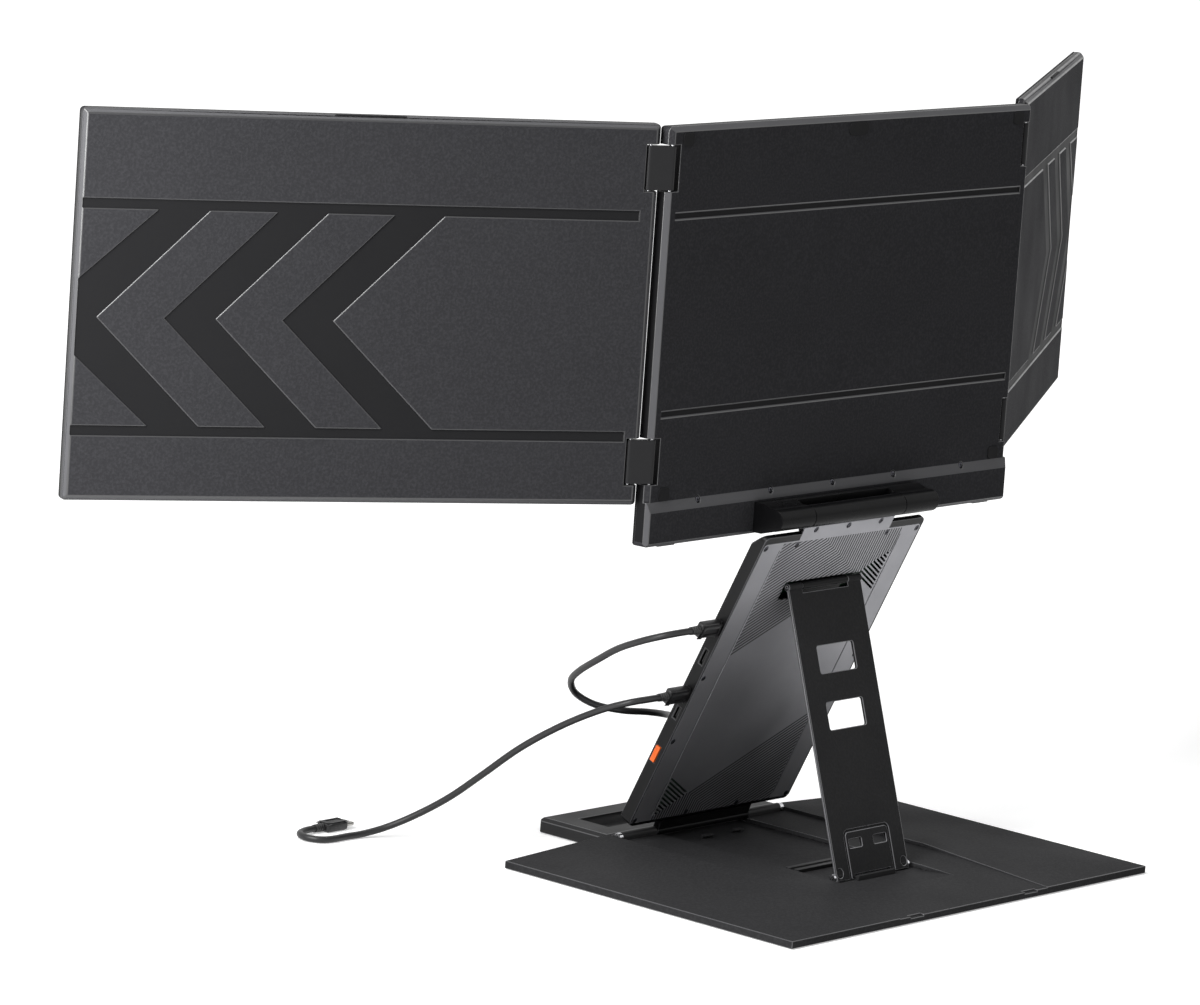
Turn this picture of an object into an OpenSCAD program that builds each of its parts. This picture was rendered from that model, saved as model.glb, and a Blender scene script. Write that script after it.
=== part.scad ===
// Laptop screen extender: a base plate, a leaning arm with a kickstand, a centre
// display on a tilt barrel and one display on double-axis hinges at each side.
// Millimetres. Origin on the desk under the middle of the base plate, +Z up.
// The screens face -Y; right_ is the +X side and left_ the -X side.

/* [Base] */
// Width of the base plate, side to side
base_w = 366; // [340:1:400]
// Depth of the base plate, front to back
base_d = 230; // [215:1:260]
// Height of the plate's outer edge above the desk
edge_h = 5.4; // [5:0.1:6.4]
// Height of the two ridges beside the tray
ridge_h = 10; // [9:0.25:12]
// Depth of the front foot, ahead of the plate
foot_d = 54.3; // [45:0.5:70]
// Width of the front foot
foot_w = 176; // [170:1:200]

/* [Arm] */
// Lean of the arm in use, from horizontal
arm_angle = 66; // [62:0.5:70]
// Width of the arm
arm_w = 162.2; // [160:0.2:175]
// Length of the arm's frame
arm_l = 222; // [205:1:240]
// Thickness of the arm
arm_t = 9; // [8.6:0.1:12]

/* [Kickstand] */
// Width of the kickstand plate
prop_w = 74; // [64:1:84]
// Length of the kickstand, from its hinge to its foot
prop_l = 187; // [175:0.5:200]
// Lean of the kickstand in use, from horizontal
prop_angle = 71.33; // [69:0.01:74]
// Thickness of the kickstand plate
prop_t = 2; // [1.6:0.1:2.4]

/* [Displays] */
// Width of the lit area of each screen
lit_w = 344.6; // [320:0.1:360]
// Height of each side display
side_h = 233.7; // [222:0.1:250]
// Border above each display's lit area, and below the side displays'
top_border = 9.15; // [8:0.05:12]
// Border below the centre display's lit area
chin_border = 33.45; // [32:0.05:38]
// Border beside the centre display's lit area, each side
centre_border = 10.7; // [10:0.1:14]
// Borders beside a side display's lit area, both together
side_border = 16.8; // [16:0.1:22]
// Thickness of the centre display above its chin
centre_t = 9.6; // [9.2:0.1:12]
// Thickness of each side display
side_t = 8.4; // [8.2:0.1:10]
// Lean of the centre display toward the user
display_lean = 1.15; // [-2:0.05:4]
// Angle each side display stands forward of the centre one
side_angle = 30.25; // [20:0.25:40]

/* [Cords] */
// Diameter of both cords
cord_d = 4.4; // [4:0.1:5]

/* [Hidden] */
$fn = 48;

black = [0.09, 0.09, 0.10];
grey = [0.33, 0.33, 0.35];
steel = [0.72, 0.72, 0.74];
rubber = [0.05, 0.05, 0.05];

// Clearances
gap = 0.15;          // between a piece and its seat, each side
run = 0.05;          // radial, shaft in its bore
press = 0.02;        // radial overlap of a pressed pin

// Base
pad_h = 0.6;                         // rubber feet below the plate
plate_z = pad_h;
front_y = -base_d / 2;
ridge_x = 84;                        // ridges' distance from the middle
ramp_y = 9.2;                        // where the rear ramp starts
tray_x = 43;                         // half width of the deep channel
tray_z = 4.5;                        // floor of the deep channel
tray_y = 44;                         // where the floor starts to rise
tray_end = 76;                       // where it meets the shelf
rim = 3;                             // wall between the tray and the foot
shelf_z = 7.5;                       // shelf beside the channel
shelf_y = 40;                        // where the shelf starts to fall
shelf_end = 4.9;                     // its height at the rear edge
shelf_x = 76;                        // its half width there
notch_x = 59;                        // finger notches in the rear edge
notch_w = 13;
notch_d = 3;
notch_deep = 1.6;
sheet_t = 1.2;                       // bottom cover
sheet_in = 8;                        // its distance from the plate's edge
sheet_r = 6;
weight_t = 3.6;
weight_in = 50;                      // ballast plates, inner and outer side
weight_out = 128;
weight_front = front_y + 14;
weight_back = 28;
foot_bevel = 2;                      // front foot's top bevel, height
foot_bevel_w = 3.3;                  // its width at the sides
foot_bevel_d = 1.3;                  // and at the front
foot_r = 3;
recess_w = 135;                      // recess in the front foot
recess_y = -141;
recess_d = 25;
recess_deep = 7;
foot_pad_r = 7;
pad_x = 164;
pad_y = 94;
front_pad_x = 70;
front_pad_y = 8.4;                   // from the foot's front
base_screw_x = 140;
base_screw_y = 98;
screw_r = 1.4;
screw_head_r = 2.6;
screw_head_h = 0.8;
screw_l = 3;

// Arm hinge on the base
hinge_y = front_y + 7;
hinge_z = 9.3;
knuckle_r = 3.2;
block_r = 3;
hinge_pin_r = 1.5;
knuckle_w = 92;                      // arm's own knuckle, in the middle
block_gap = 0.4;
knuckle_room = 0.6;                  // round the arm's knuckle
knuckle_behind = 0.8;                // and behind it
seat_z = hinge_z - knuckle_r - knuckle_room;    // floor of the seats under the hinge
block_out = 80;                      // outer side of the hinge blocks
cap_l = 3.2;                         // bright cap on each end of the pin
hook_x = 15;
hook_y = -90;
hook_w = 9;
hook_t = 2;
hook_h = 2.5;
hook_lip = 0.7;
bar_y = [-6, 4];                     // stop bar across the tray
bar_over = 1.5;                      // its ends beyond the kickstand
bar_floor = 0.6;

// Arm: x across, y from its back face outward, z up along it
arm_dy = 6.8;                        // arm's foot from the hinge axis
arm_dz = 8.2;
arm_y0 = hinge_y + arm_dy;
arm_z0 = hinge_z + arm_dz;
axis_y = -(arm_dy * sin(arm_angle) - arm_dz * cos(arm_angle));
axis_z = -(arm_dy * cos(arm_angle) + arm_dz * sin(arm_angle));
arm_r = 4;
arm_bevel = 1;
wall = 1.4;
cover_t = 1.2;
cover_side = 1.5;                    // black frame beside the grey cover
cover_top = 5;                       // black frame above it
cover_low = 0.6;
side_wall = 6.5;
inner_low = 6;                       // room for the electronics, above the arm's foot
inner_high = 24;                     // and below its top
tab_w = 91.6;                        // grey tab that reaches up the barrel's neck
tab_l = 4.4;
neck_w = 92;                         // neck below the barrel
barrel_r = 7;
barrel_y = -2;
barrel_up = 12.1;                    // barrel axis above the frame's top
shaft_r = 2.5;
bevel_l = 9;                         // front bevel at the arm's top
bevel_t = 5.5;
port_y = -arm_t / 2;
plug_z = [101, 152];                 // where the two cords plug in
mini_z = 129;
inlet_z = 86;
button_y = -5.4;
button_z = 53.5;
button_l = 11.4;
button_w = 3.6;
button_out = 0.9;                    // button proud of the arm's side
port_d = 7.4;
port_w = 9;
port_h = 3.2;
port_wall = 0.3;
mini_w = 11.2;
board_t = 1.2;
board_gap = 0.5;
post_h = 0.3;
post_r = 3;                          // posts under the board
post_in = 21.1;                      // from the arm's sides
post_up = 20;                        // lower ones above its foot
post_down = 42;                      // upper ones below its top
chips = [[-40, 60, 14], [10, 90, 18], [-20, 140, 12], [30, 40, 10]];
chip_t = 1.2;
cover_screw_r = 2.1;
cover_screw_l = 3.2;
cover_screw_in = 4.2;                // from the arm's sides
cover_screw_top = 8.2;               // from its top
cover_screw_low = 4;                 // from its foot
cover_screw_head = 0.6;              // head's thickness in the cover
tab_screw_x = 33;                    // outer screws of the tab
tab_screw_up = 1.9;                  // above the frame's top
vents = 10;                          // slots in each vent
vent_in = 21.6;                      // outer ends from the arm's side
vent_first = 34.7;                   // longest slot's outer end
vent_last = 4.7;                     // lowest corner of the field of slots
vent_reach = 25;                     // its width
vent_l = 30;
vent_w = 1.4;
vent_pitch = 3;
vent_turn = 31;                      // slots' slope
cover_turn = 18.6;                   // upper vents end this far short of a mirrored place
field_x = 61;                        // grooves at the sides of the ribbed field
field_deep = 0.4;
field_end = 6;

// Kickstand
prop_off = 1.4;                      // hinge axis behind the arm's back face
prop_knuckle_r = 2.4;
prop_pin_r = 1;
prop_slot_w = 46;                    // arm's knuckle between the prop's two
seat_deep = 3;                       // its seat in the arm
seat_side = 1.5;
seat_low = 8;
seat_high = 0.8;
foot_clear = 0.3;                    // kickstand's foot above the tray
pivot_z = tray_z + foot_clear + prop_t / 2 * cos(prop_angle) + prop_l * sin(prop_angle);
prop_z = (pivot_z - arm_z0 + prop_off * cos(arm_angle)) / sin(arm_angle);    // hinge, up the arm
pivot_y = arm_y0 + prop_z * cos(arm_angle) + prop_off * sin(arm_angle);
prop_foot_y = pivot_y + prop_l * cos(prop_angle);
rod_r = 1.2;
rod_boss_r = 2.3;
rod_off = 1.4;
rod_up = 3;
window_w = 37;
window_h = 17.5;
window_z = [48, 84];
window_r = 1.5;
prop_edge = 0.5;                     // eased edges
flap_r = 4;
flap_out = 9;                        // flap's outline runs out below the foot
flap_deep = 0.8;
boss_l = 14;
stud_in = 4.4;                       // shallow studs at the foot's corners
stud_up = 5;
stud_r = 3;
stud_h = 0.4;
flap_w = 46;
flap_l = 31;
flap_gap_w = 36;
flap_gap_l = 2.6;
groove = 1.4;
slot_w = 13;
slot_h = 5.6;
slot_x = 12.5;
slot_z = 165;
stop_h = 2.3;
stop_gap = 3;
rib_gap = 1.6;                       // rib behind the kickstand's foot
rib_t = 2.2;
rib_h = 3.2;

// Centre display: x across, y outward from the back, z up, from the tilt axis
lit_h = side_h - 2 * top_border;
centre_w = lit_w + 2 * centre_border;
centre_h = lit_h + top_border + chin_border;
tilt_y = arm_y0 + (arm_l + barrel_up) * cos(arm_angle) + barrel_y * sin(arm_angle);
tilt_z = arm_z0 + (arm_l + barrel_up) * sin(arm_angle) - barrel_y * cos(arm_angle);
back_y = -18.5;                      // centre display's back face
centre_z0 = -11;                     // its bottom edge
chin_t = 2;                          // chin proud of the back face
chin_top = 10.2;
chin_slope = 16.6;
back_chamfer = 3;
front_chamfer = 0.4;
corner_r = 3;
bezel_t = 1.6;
back_wall = 1.9;
edge_wall = 1.8;
glass_t = 0.6;
lcd_t = 3;
bezel_over = 0.7;                    // lit area's edge to the bezel
panel_edge = 1.1;                    // panel beyond the lit area
groove_top = 54.8;                   // upper groove across the back, from the top edge
groove_bottom = 81.4;                // lower groove, from the bottom edge
groove_in = 8;                       // grooves' ends from the sides
groove_h = 4.6;
groove_deep = 0.8;
screw_z = 15.2;                        // row of screws above the chin
screw_x = 62.5;                      // inner screws from the middle
screw_in = 49;                       // outer screws from the sides
screw_hole_r = 2.3;
bumper_side = 15.5;                  // from the display's sides
bumper_in = 8.1;                     // from its top edge
bumper_low = 31.9;                   // from its bottom edge
bumper_w = 10;
bumper_h = 8;
bumper_mid_w = 20;
bumper_t = 0.8;
bumper_r = 2;
chin_pad_in = 23;                    // pads under the chin, from the sides
chin_pad_w = 16;
board_in = 62;                       // driver board's ends from the lit area's
bracket_in = 46.3;                   // ears of the tilt bracket
bracket_out = 80;
bracket_t = 7.2;
bracket_low = -9.8;
bracket_top = 9.2;

// Side displays and their double-axis hinges
side_w = lit_w + side_border;
side_rise = 1.5;                     // top edge above the centre display's
side_z0 = centre_z0 + centre_h + side_rise - side_h;
hinge_up = 26.9;                     // lower blocks above the side display's bottom edge
hinge_down = 25.3;                   // upper blocks below the centre display's top edge
hinge_low = side_z0 + hinge_up;
hinge_high = centre_z0 + centre_h - hinge_down;
hinge_h = 27;
hinge_gap = 0.75;                    // above and below each block
pivot_in = 4;                        // axis inside the centre display's side
side_pivot_in = 6;                   // axis inside the side display's side
pivot_deep = 2.8;                    // both axes below the back faces
link_r = 2.5;
link_right = 14;                    // between the two axes
link_left = 23.8;
left_kink = 8.75;                    // left blocks stand further forward
pin_r = 1;
pin_in = 6;                          // pin into the covers, each end
notch_in = 9;                        // notch in the centre display's side
side_notch_in = 9;                   // notch in the side display's side
side_shift = 3.3;                    // lit area toward the outer side
relief = 0.9;                        // recessed pattern on the back
relief_low = 39.5;                   // recessed zone, from the bottom edge
relief_high = 53.3;                  // and from the top edge
relief_in = 11.4;
relief_rim = 5.7;                    // zone's edge to the raised shapes
bar_w = 42;                          // chevron bar, across
bar_pitch = 73;
bar_first = 78;                      // first chevron from the outer side
bar_tip = 1.5;                       // tips of the bars, beyond a right angle
pad_w = 44;                          // bar on the top edge
pad_t = 1;
side_board_l = 160;                  // driver board
side_board_h = 26;
side_board_up = 8;

// Plugs
plug_l = 19;
plug_w = 12.5;
plug_h = 6.5;
tip_l = 6.2;
tip_w = 8.2;
tip_h = 2.4;
neck_l = 8;
plug_gap = 0.2;

// Routes of the cords, from the plugs on the arm
plug_x = arm_w / 2 + plug_gap + plug_l + neck_l;
signal_route = [
    [118.8, -65, 111.4], [128.5, -72, 108.9], [134, -90, 101], [141, -114, 87],
    [150, -138, 69], [159, -160, 48], [167, -178, 31], [176, -196, 17],
    [187, -210, 7.4], [201, -217.5, 3], [215, -219.5, 2.4], [229.5, -219.5, 2.4],
    [237.5, -222.8, 2.5], [240.8, -230.8, 2.6], [237.5, -238.8, 2.8], [229.5, -242.1, 3.1]
];
signal_end = [221, -242.2, 3.3];
power_route = [
    [118.6, -45.2, 157.6], [126.5, -52.5, 154.8], [129, -66, 149.4], [125.5, -86, 140.5],
    [120, -106, 129], [113, -126, 117], [105, -138.5, 107.5], [95, -142, 97.5],
    [84, -134.5, 90.5], [70, -123, 87.5], [52, -118.5, 85.5], [30, -121.5, 81],
    [0, -138, 72], [-30, -158, 53], [-55.5, -160.4, 37.5], [-71.2, -169.7, 22],
    [-91.7, -176.4, 10.5], [-113.3, -180.2, 4.4], [-133.5, -184.1, 2.5], [-149.8, -189.6, 2.4]
];
power_end = [-161.9, -198.6, 2.8];
hank_at = [-160, -235, 0];
hank_turn = 40;                      // its long axis, from +X
hank_r = 22;                         // mid-turn radius
hank_l = 40;                         // straight part
hank_t = 9;
hank_h = 10;
hank_out = 60;                       // plug's end of the cord from the hank's middle
hank_lane = hank_r + cord_d / 2 + 0.1;
steps = 2;                           // rings per stretch of a route
cord_sides = 10;

// --- Helpers ---

module box(a, b) translate(a) cube([b[0] - a[0], b[1] - a[1], b[2] - a[2]]);

module both() {
    children();
    mirror([1, 0, 0]) children();
}

// A rod along x, centred
module rod(r, l) rotate([0, 90, 0]) cylinder(r = r, h = l, center = true);

// An outline in (y, z) drawn out along x, centred
module across(l) rotate([90, 0, 90]) linear_extrude(l, center = true) children();

// An outline in (x, z) drawn out along y, centred
module along(l) rotate([90, 0, 0]) linear_extrude(l, center = true) children();

// An outline in (x, z) drawn from y down to y - t
module slab(y, t) translate([0, y, 0]) rotate([90, 0, 0]) linear_extrude(t) children();

// A rounded rectangle from one corner to the other
module rounded(a, b, r) {
    translate([a[0] + r, a[1]]) square([b[0] - a[0] - 2 * r, b[1] - a[1]]);
    translate([a[0], a[1] + r]) square([b[0] - a[0], b[1] - a[1] - 2 * r]);
    for (x = [a[0] + r, b[0] - r], y = [a[1] + r, b[1] - r])
        translate([x, y]) circle(r);
}

module on_arm() translate([0, arm_y0, arm_z0]) rotate([arm_angle - 90, 0, 0]) children();

module on_prop() translate([0, pivot_y, pivot_z]) rotate([90 - prop_angle, 0, 0]) children();

module on_display() translate([0, tilt_y, tilt_z]) rotate([display_lean, 0, 0]) children();

// The right side's hinge frame: x along the blocks, from the centre display's axis
module on_link(turn) on_display()
    translate([centre_w / 2 - pivot_in, back_y - pivot_deep, 0])
        rotate([0, 0, -turn]) children();

// The right side display's frame: x from its inner side, y from its back, z from its bottom
module on_side(link, turn, kink) on_link(turn)
    translate([link, 0, 0]) rotate([0, 0, kink])
        translate([-side_pivot_in, pivot_deep, side_z0]) children();

module on_right() on_side(link_right, side_angle, 0) children();

module on_left() mirror([1, 0, 0]) on_side(link_left, side_angle + left_kink, left_kink) children();

// --- Base ---

module base_blank() intersection() {
    along(base_d) polygon([
        [-base_w / 2, plate_z], [base_w / 2, plate_z], [base_w / 2, edge_h],
        [ridge_x, ridge_h], [-ridge_x, ridge_h], [-base_w / 2, edge_h]
    ]);
    across(base_w) polygon([
        [front_y, plate_z], [base_d / 2, plate_z], [base_d / 2, edge_h],
        [ramp_y, ridge_h], [front_y, ridge_h]
    ]);
}

module sheet_outline(c)
    rounded([-base_w / 2 + sheet_in - c, front_y + sheet_in - c],
            [base_w / 2 - sheet_in + c, base_d / 2 - sheet_in + c], sheet_r);

module at_base_screws()
    for (x = [-base_screw_x, base_screw_x], y = [-base_screw_y, base_screw_y])
        translate([x, y, plate_z]) children();

module base_plate() color(black) difference() {
    base_blank();
    // shelf beside the tray, falling toward the rear edge
    intersection() {
        linear_extrude(2 * ridge_h) polygon([
            [-ridge_x, front_y + rim], [ridge_x, front_y + rim], [ridge_x, ramp_y],
            [shelf_x, base_d / 2 + 1], [-shelf_x, base_d / 2 + 1], [-ridge_x, ramp_y]
        ]);
        across(2 * ridge_x) polygon([
            [front_y, shelf_z], [shelf_y, shelf_z], [base_d / 2 + 1, shelf_end],
            [base_d / 2 + 1, 2 * ridge_h], [front_y, 2 * ridge_h]
        ]);
    }
    // deep channel
    across(2 * tray_x) polygon([
        [front_y + rim, tray_z], [tray_y, tray_z], [tray_end, shelf_z],
        [tray_end, 2 * ridge_h], [front_y + rim, 2 * ridge_h]
    ]);
    // room for the arm's knuckle
    box([-knuckle_w / 2 - block_gap, hinge_y - knuckle_r - knuckle_room, seat_z],
        [knuckle_w / 2 + block_gap, hinge_y + knuckle_r + knuckle_behind, 2 * ridge_h]);
    // seats of the hinge blocks and the pin's caps
    both() box([knuckle_w / 2, hinge_y - block_r - gap, seat_z],
               [block_out + cap_l + 2 * block_gap, hinge_y + block_r + gap, 2 * ridge_h]);
    // finger notches
    both() box([notch_x - notch_w / 2, base_d / 2 - notch_d, edge_h - notch_deep],
               [notch_x + notch_w / 2, base_d / 2 + 1, 2 * ridge_h]);
    // seat of the bottom cover, ballast pockets and screw holes
    translate([0, 0, plate_z - 1]) linear_extrude(sheet_t + 1) sheet_outline(gap);
    both() box([weight_in - 2 * gap, weight_front - 2 * gap, plate_z],
               [weight_out + 2 * gap, weight_back + 2 * gap, plate_z + sheet_t + weight_t + gap]);
    at_base_screws() cylinder(r = screw_r + run, h = screw_head_h + screw_l + 0.2);
}

module base_bottom_cover() color(grey) difference() {
    translate([0, 0, plate_z]) linear_extrude(sheet_t) sheet_outline(0);
    at_base_screws() {
        translate([0, 0, -1]) cylinder(r = screw_head_r + run, h = 1 + screw_head_h);
        cylinder(r = screw_r + run, h = 2 * sheet_t);
    }
}

module base_weights() color(steel) both()
    box([weight_in, weight_front, plate_z + sheet_t],
        [weight_out, weight_back, plate_z + sheet_t + weight_t]);

module base_screws() color(steel) at_base_screws() {
    cylinder(r = screw_head_r, h = screw_head_h);
    cylinder(r = screw_r, h = screw_head_h + screw_l);
}

module base_feet() color(rubber) {
    cylinder(r = foot_pad_r, h = pad_h);
    for (x = [-pad_x, pad_x], y = [-pad_y, pad_y])
        translate([x, y, 0]) cylinder(r = foot_pad_r, h = pad_h);
    for (x = [-front_pad_x, front_pad_x])
        translate([x, front_y - foot_d + front_pad_y, 0]) cylinder(r = foot_pad_r, h = pad_h);
}

module front_foot() color(black) difference() {
    intersection() {
        along(4 * base_d) polygon([
            [-foot_w / 2, plate_z], [foot_w / 2, plate_z],
            [foot_w / 2, ridge_h - foot_bevel], [foot_w / 2 - foot_bevel_w, ridge_h],
            [-foot_w / 2 + foot_bevel_w, ridge_h], [-foot_w / 2, ridge_h - foot_bevel]
        ]);
        across(foot_w) polygon([
            [front_y - foot_d, plate_z], [front_y, plate_z], [front_y, ridge_h],
            [front_y - foot_d + foot_bevel_d, ridge_h], [front_y - foot_d, ridge_h - foot_bevel]
        ]);
        linear_extrude(2 * ridge_h)
            rounded([-foot_w / 2, front_y - foot_d], [foot_w / 2, front_y + 2 * foot_r], foot_r);
    }
    box([-recess_w / 2, recess_y - recess_d / 2, ridge_h - recess_deep],
        [recess_w / 2, recess_y + recess_d / 2, 2 * ridge_h]);
}

module arm_hinge_blocks() color(black) both() difference() {
    translate([(knuckle_w / 2 + block_gap + block_out) / 2, hinge_y, hinge_z]) {
        rod(block_r, block_out - knuckle_w / 2 - block_gap);
        across(block_out - knuckle_w / 2 - block_gap) polygon([
            [-block_r, seat_z - hinge_z], [block_r, seat_z - hinge_z],
            [block_r, 0], [-block_r, 0]
        ]);
    }
    translate([0, hinge_y, hinge_z]) rod(hinge_pin_r - press, 3 * base_d);
}

module arm_hinge_pin() color(steel) translate([0, hinge_y, hinge_z]) {
    rod(hinge_pin_r, 2 * block_out + 0.2);
    both() translate([block_out + 0.1 + cap_l / 2, 0, 0]) rod(block_r - 0.2, cap_l);
}

module tray_hooks() color(black) both() {
    x = [hook_x - hook_w / 2, hook_x + hook_w / 2];
    y = hook_y - hook_t / 2;
    box([x[0], y, tray_z], [x[1], y + hook_t, tray_z + hook_h - hook_lip]);
    box([x[0], y, tray_z + hook_h - hook_lip], [x[1], y + 2 * hook_t, tray_z + hook_h]);
}

module prop_stop_bar() color(black) {
    x = prop_w / 2 + bar_over;
    y = (bar_y[0] + bar_y[1]) / 2;
    box([-x, bar_y[0], tray_z], [x, bar_y[1], tray_z + bar_floor]);
    box([-x, bar_y[0], tray_z + bar_floor], [x, y - stop_gap / 2, tray_z + stop_h]);
    box([-x, y + stop_gap / 2, tray_z + bar_floor], [x, bar_y[1], tray_z + stop_h]);
}

// Rib that the kickstand's foot leans on
module prop_foot_stop() color(black)
    box([-flap_gap_w / 2 - 1, prop_foot_y + rib_gap, tray_z],
        [flap_gap_w / 2 + 1, prop_foot_y + rib_gap + rib_t, tray_z + rib_h]);

// --- Arm ---

module cover_outline(c) {
    rounded([-arm_w / 2 + cover_side - c, cover_low - c],
            [arm_w / 2 - cover_side + c, arm_l - cover_top + c], arm_r - 1);
    translate([-tab_w / 2 - c, arm_l - cover_top - 2]) square([tab_w + 2 * c, cover_top + 2 + tab_l + c]);
}

module at_cover_screws() for (p = [
    [arm_w / 2 - cover_screw_in, arm_l - cover_screw_top], [tab_w / 2, arm_l - cover_screw_top],
    [arm_w / 2 - cover_screw_in, arm_l - 107], [arm_w / 2 - cover_screw_in, 66],
    [arm_w / 2 - cover_screw_in, cover_screw_low], [25.6, cover_screw_low],
    [tab_screw_x, arm_l + tab_screw_up]
]) for (s = [-1, 1]) translate([s * p[0], 0, p[1]]) rotate([90, 0, 0]) children();

module side_window(z, w, h) box([0, port_y - h / 2, z - w / 2], [arm_w, port_y + h / 2, z + w / 2]);

module prop_hinge_seat()
    box([-prop_w / 2 - seat_side, -seat_deep, prop_z - prop_knuckle_r - seat_low],
        [prop_w / 2 + seat_side, 5, prop_z + prop_knuckle_r + seat_high]);

module arm_frame() color(black) on_arm() difference() {
    union() {
        difference() {
            intersection() {
                slab(0, arm_t) rounded([-arm_w / 2, 0], [arm_w / 2, arm_l], arm_r);
                across(arm_w) polygon([
                    [0, 0], [0, arm_l], [bevel_t - arm_t, arm_l],
                    [-arm_t, arm_l - bevel_l], [-arm_t, arm_bevel], [arm_bevel - arm_t, 0]
                ]);
            }
            slab(1, 1 + cover_t) cover_outline(gap);
            // room for the electronics
            box([-arm_w / 2 + side_wall, wall - arm_t, inner_low],
                [arm_w / 2 - side_wall, 0, arm_l - inner_high]);
        }
        // posts under the circuit board
        for (x = [post_in - arm_w / 2, arm_w / 2 - post_in], z = [post_up, arm_l - post_down])
            translate([x, wall - arm_t + post_h, z]) rotate([90, 0, 0])
                cylinder(r = post_r, h = post_h + 0.2);
        // foot of the arm, with its hinge knuckle
        translate([0, axis_y, axis_z]) rod(knuckle_r, knuckle_w);
        across(knuckle_w) polygon([
            [axis_y - 2.4, axis_z], [axis_y + 2.4, axis_z], [-cover_t - 0.2, 0.2], [axis_y - 3.2, 0.2]
        ]);
    }
    translate([0, axis_y, axis_z]) rod(hinge_pin_r + run, 2 * arm_w);
    // seat under the hinge of the kickstand
    prop_hinge_seat();
    // windows of the sockets and the button
    for (z = [plug_z[0], plug_z[1], inlet_z]) side_window(z, port_w + 2 * run, port_h + 2 * run);
    side_window(mini_z, mini_w + 2 * run, port_h + 2 * run);
    translate([0, button_y - port_y, 0])
        side_window(button_z, button_l + 2 * gap, button_w + 2 * gap);
    at_cover_screws() cylinder(r = screw_r + run, h = cover_screw_l + 0.6);
}

// Slanting slots in the cover's lower corner, their inner ends on a sloping line
module vent_slots() intersection() {
    for (i = [0 : vents - 1]) translate([arm_w / 2 - vent_in, vent_first - i * vent_pitch])
        rotate(vent_turn) translate([-vent_l, -vent_w / 2]) square([vent_l, vent_w]);
    polygon([
        [arm_w / 2 - vent_in, vent_first + vent_pitch], [arm_w / 2 - vent_in, vent_last],
        [arm_w / 2 - vent_in - vent_reach, vent_last + vent_reach * tan(vent_turn + 1)],
        [arm_w / 2 - vent_in - vent_reach, vent_first + vent_pitch]
    ]);
}

module arm_back_cover() color(grey) on_arm() difference() {
    slab(0, cover_t) cover_outline(0);
    prop_hinge_seat();
    at_cover_screws() {
        translate([0, 0, -1]) cylinder(r = cover_screw_r + run, h = 1 + cover_screw_head);
        cylinder(r = screw_r + run, h = 3);
    }
    // vents in two corners, the upper ones turned half round
    slab(1, 4) vent_slots();
    slab(1, 4) translate([0, arm_l - cover_turn]) rotate(180) vent_slots();
    // shallow grooves beside the cover's middle field
    both() box([field_x, -field_deep, field_end],
               [field_x + 1, 1, arm_l - cover_top - field_end]);
}

module arm_cover_screws() color(steel) on_arm() at_cover_screws() {
    translate([0, 0, -0.2]) cylinder(r = cover_screw_r, h = 0.2 + cover_screw_head);
    cylinder(r = screw_r, h = cover_screw_l);
}

module arm_circuit_board() color("darkgreen") on_arm() {
    y0 = wall - arm_t + post_h;
    difference() {
        box([-arm_w / 2 + side_wall + 2 * board_gap, y0, inner_low + 4 * board_gap],
            [arm_w / 2 - side_wall - board_gap, y0 + board_t, arm_l - inner_high - 4 * board_gap]);
        // clear of the button
        box([arm_w / 2 - side_wall - 8, y0 - 1, button_z - button_l / 2 - 3],
            [arm_w, y0 + 2 * board_t, button_z + button_l / 2 + 3]);
    }
    for (p = chips)
        box([p[0], y0 + board_t, p[1]], [p[0] + p[2], y0 + board_t + chip_t, p[1] + p[2]]);
}

// A socket's metal shell, its mouth at the arm's side
module socket(z, w) translate([arm_w / 2 - 0.2 - port_d, port_y, z]) difference() {
    box([0, -port_h / 2, -w / 2], [port_d, port_h / 2, w / 2]);
    box([port_wall, port_wall - port_h / 2, port_wall - w / 2],
        [port_d + 1, port_h / 2 - port_wall, w / 2 - port_wall]);
}

module usb_c_ports() color(steel) on_arm() for (z = plug_z) socket(z, port_w);

module mini_port() color(steel) on_arm() socket(mini_z, mini_w);

module power_inlet() color(steel) on_arm() socket(inlet_z, port_w);

module power_button() color("orangered") on_arm() {
    box([arm_w / 2 - 5, button_y - button_w / 2, button_z - button_l / 2],
        [arm_w / 2 + button_out, button_y + button_w / 2, button_z + button_l / 2]);
}

module prop_hinge() color(black) on_arm() difference() {
    union() {
        x = prop_slot_w / 2 - block_gap;
        box([-x, -seat_deep, prop_z - prop_knuckle_r - seat_low + 0.2],
            [x, -0.4, prop_z + prop_knuckle_r + seat_high - 0.2]);
        translate([0, prop_off, prop_z]) rod(prop_knuckle_r, 2 * x);
        box([-x, -0.4, prop_z - 1.6], [x, prop_off, prop_z + 1.6]);
    }
    translate([0, prop_off, prop_z]) rod(prop_pin_r - press, 2 * prop_w);
}

module prop_hinge_pin() color(steel) on_arm()
    translate([0, prop_off, prop_z]) rod(prop_pin_r, prop_w - 1);

module tilt_barrel() color(black) on_arm() difference() {
    union() {
        translate([0, barrel_y, arm_l + barrel_up]) rod(barrel_r, neck_w);
        across(neck_w) polygon([
            [-4.2, arm_l], [-cover_t - gap, arm_l], [-cover_t - gap, arm_l + tab_l + gap],
            [barrel_y + 4, arm_l + tab_l + 2], [barrel_y, arm_l + barrel_up], [-4.2, arm_l + 7]
        ]);
    }
    at_cover_screws() cylinder(r = screw_r + run, h = cover_screw_l + 0.3);
    translate([0, barrel_y, arm_l + barrel_up]) rod(shaft_r - press, 2 * neck_w);
}

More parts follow.
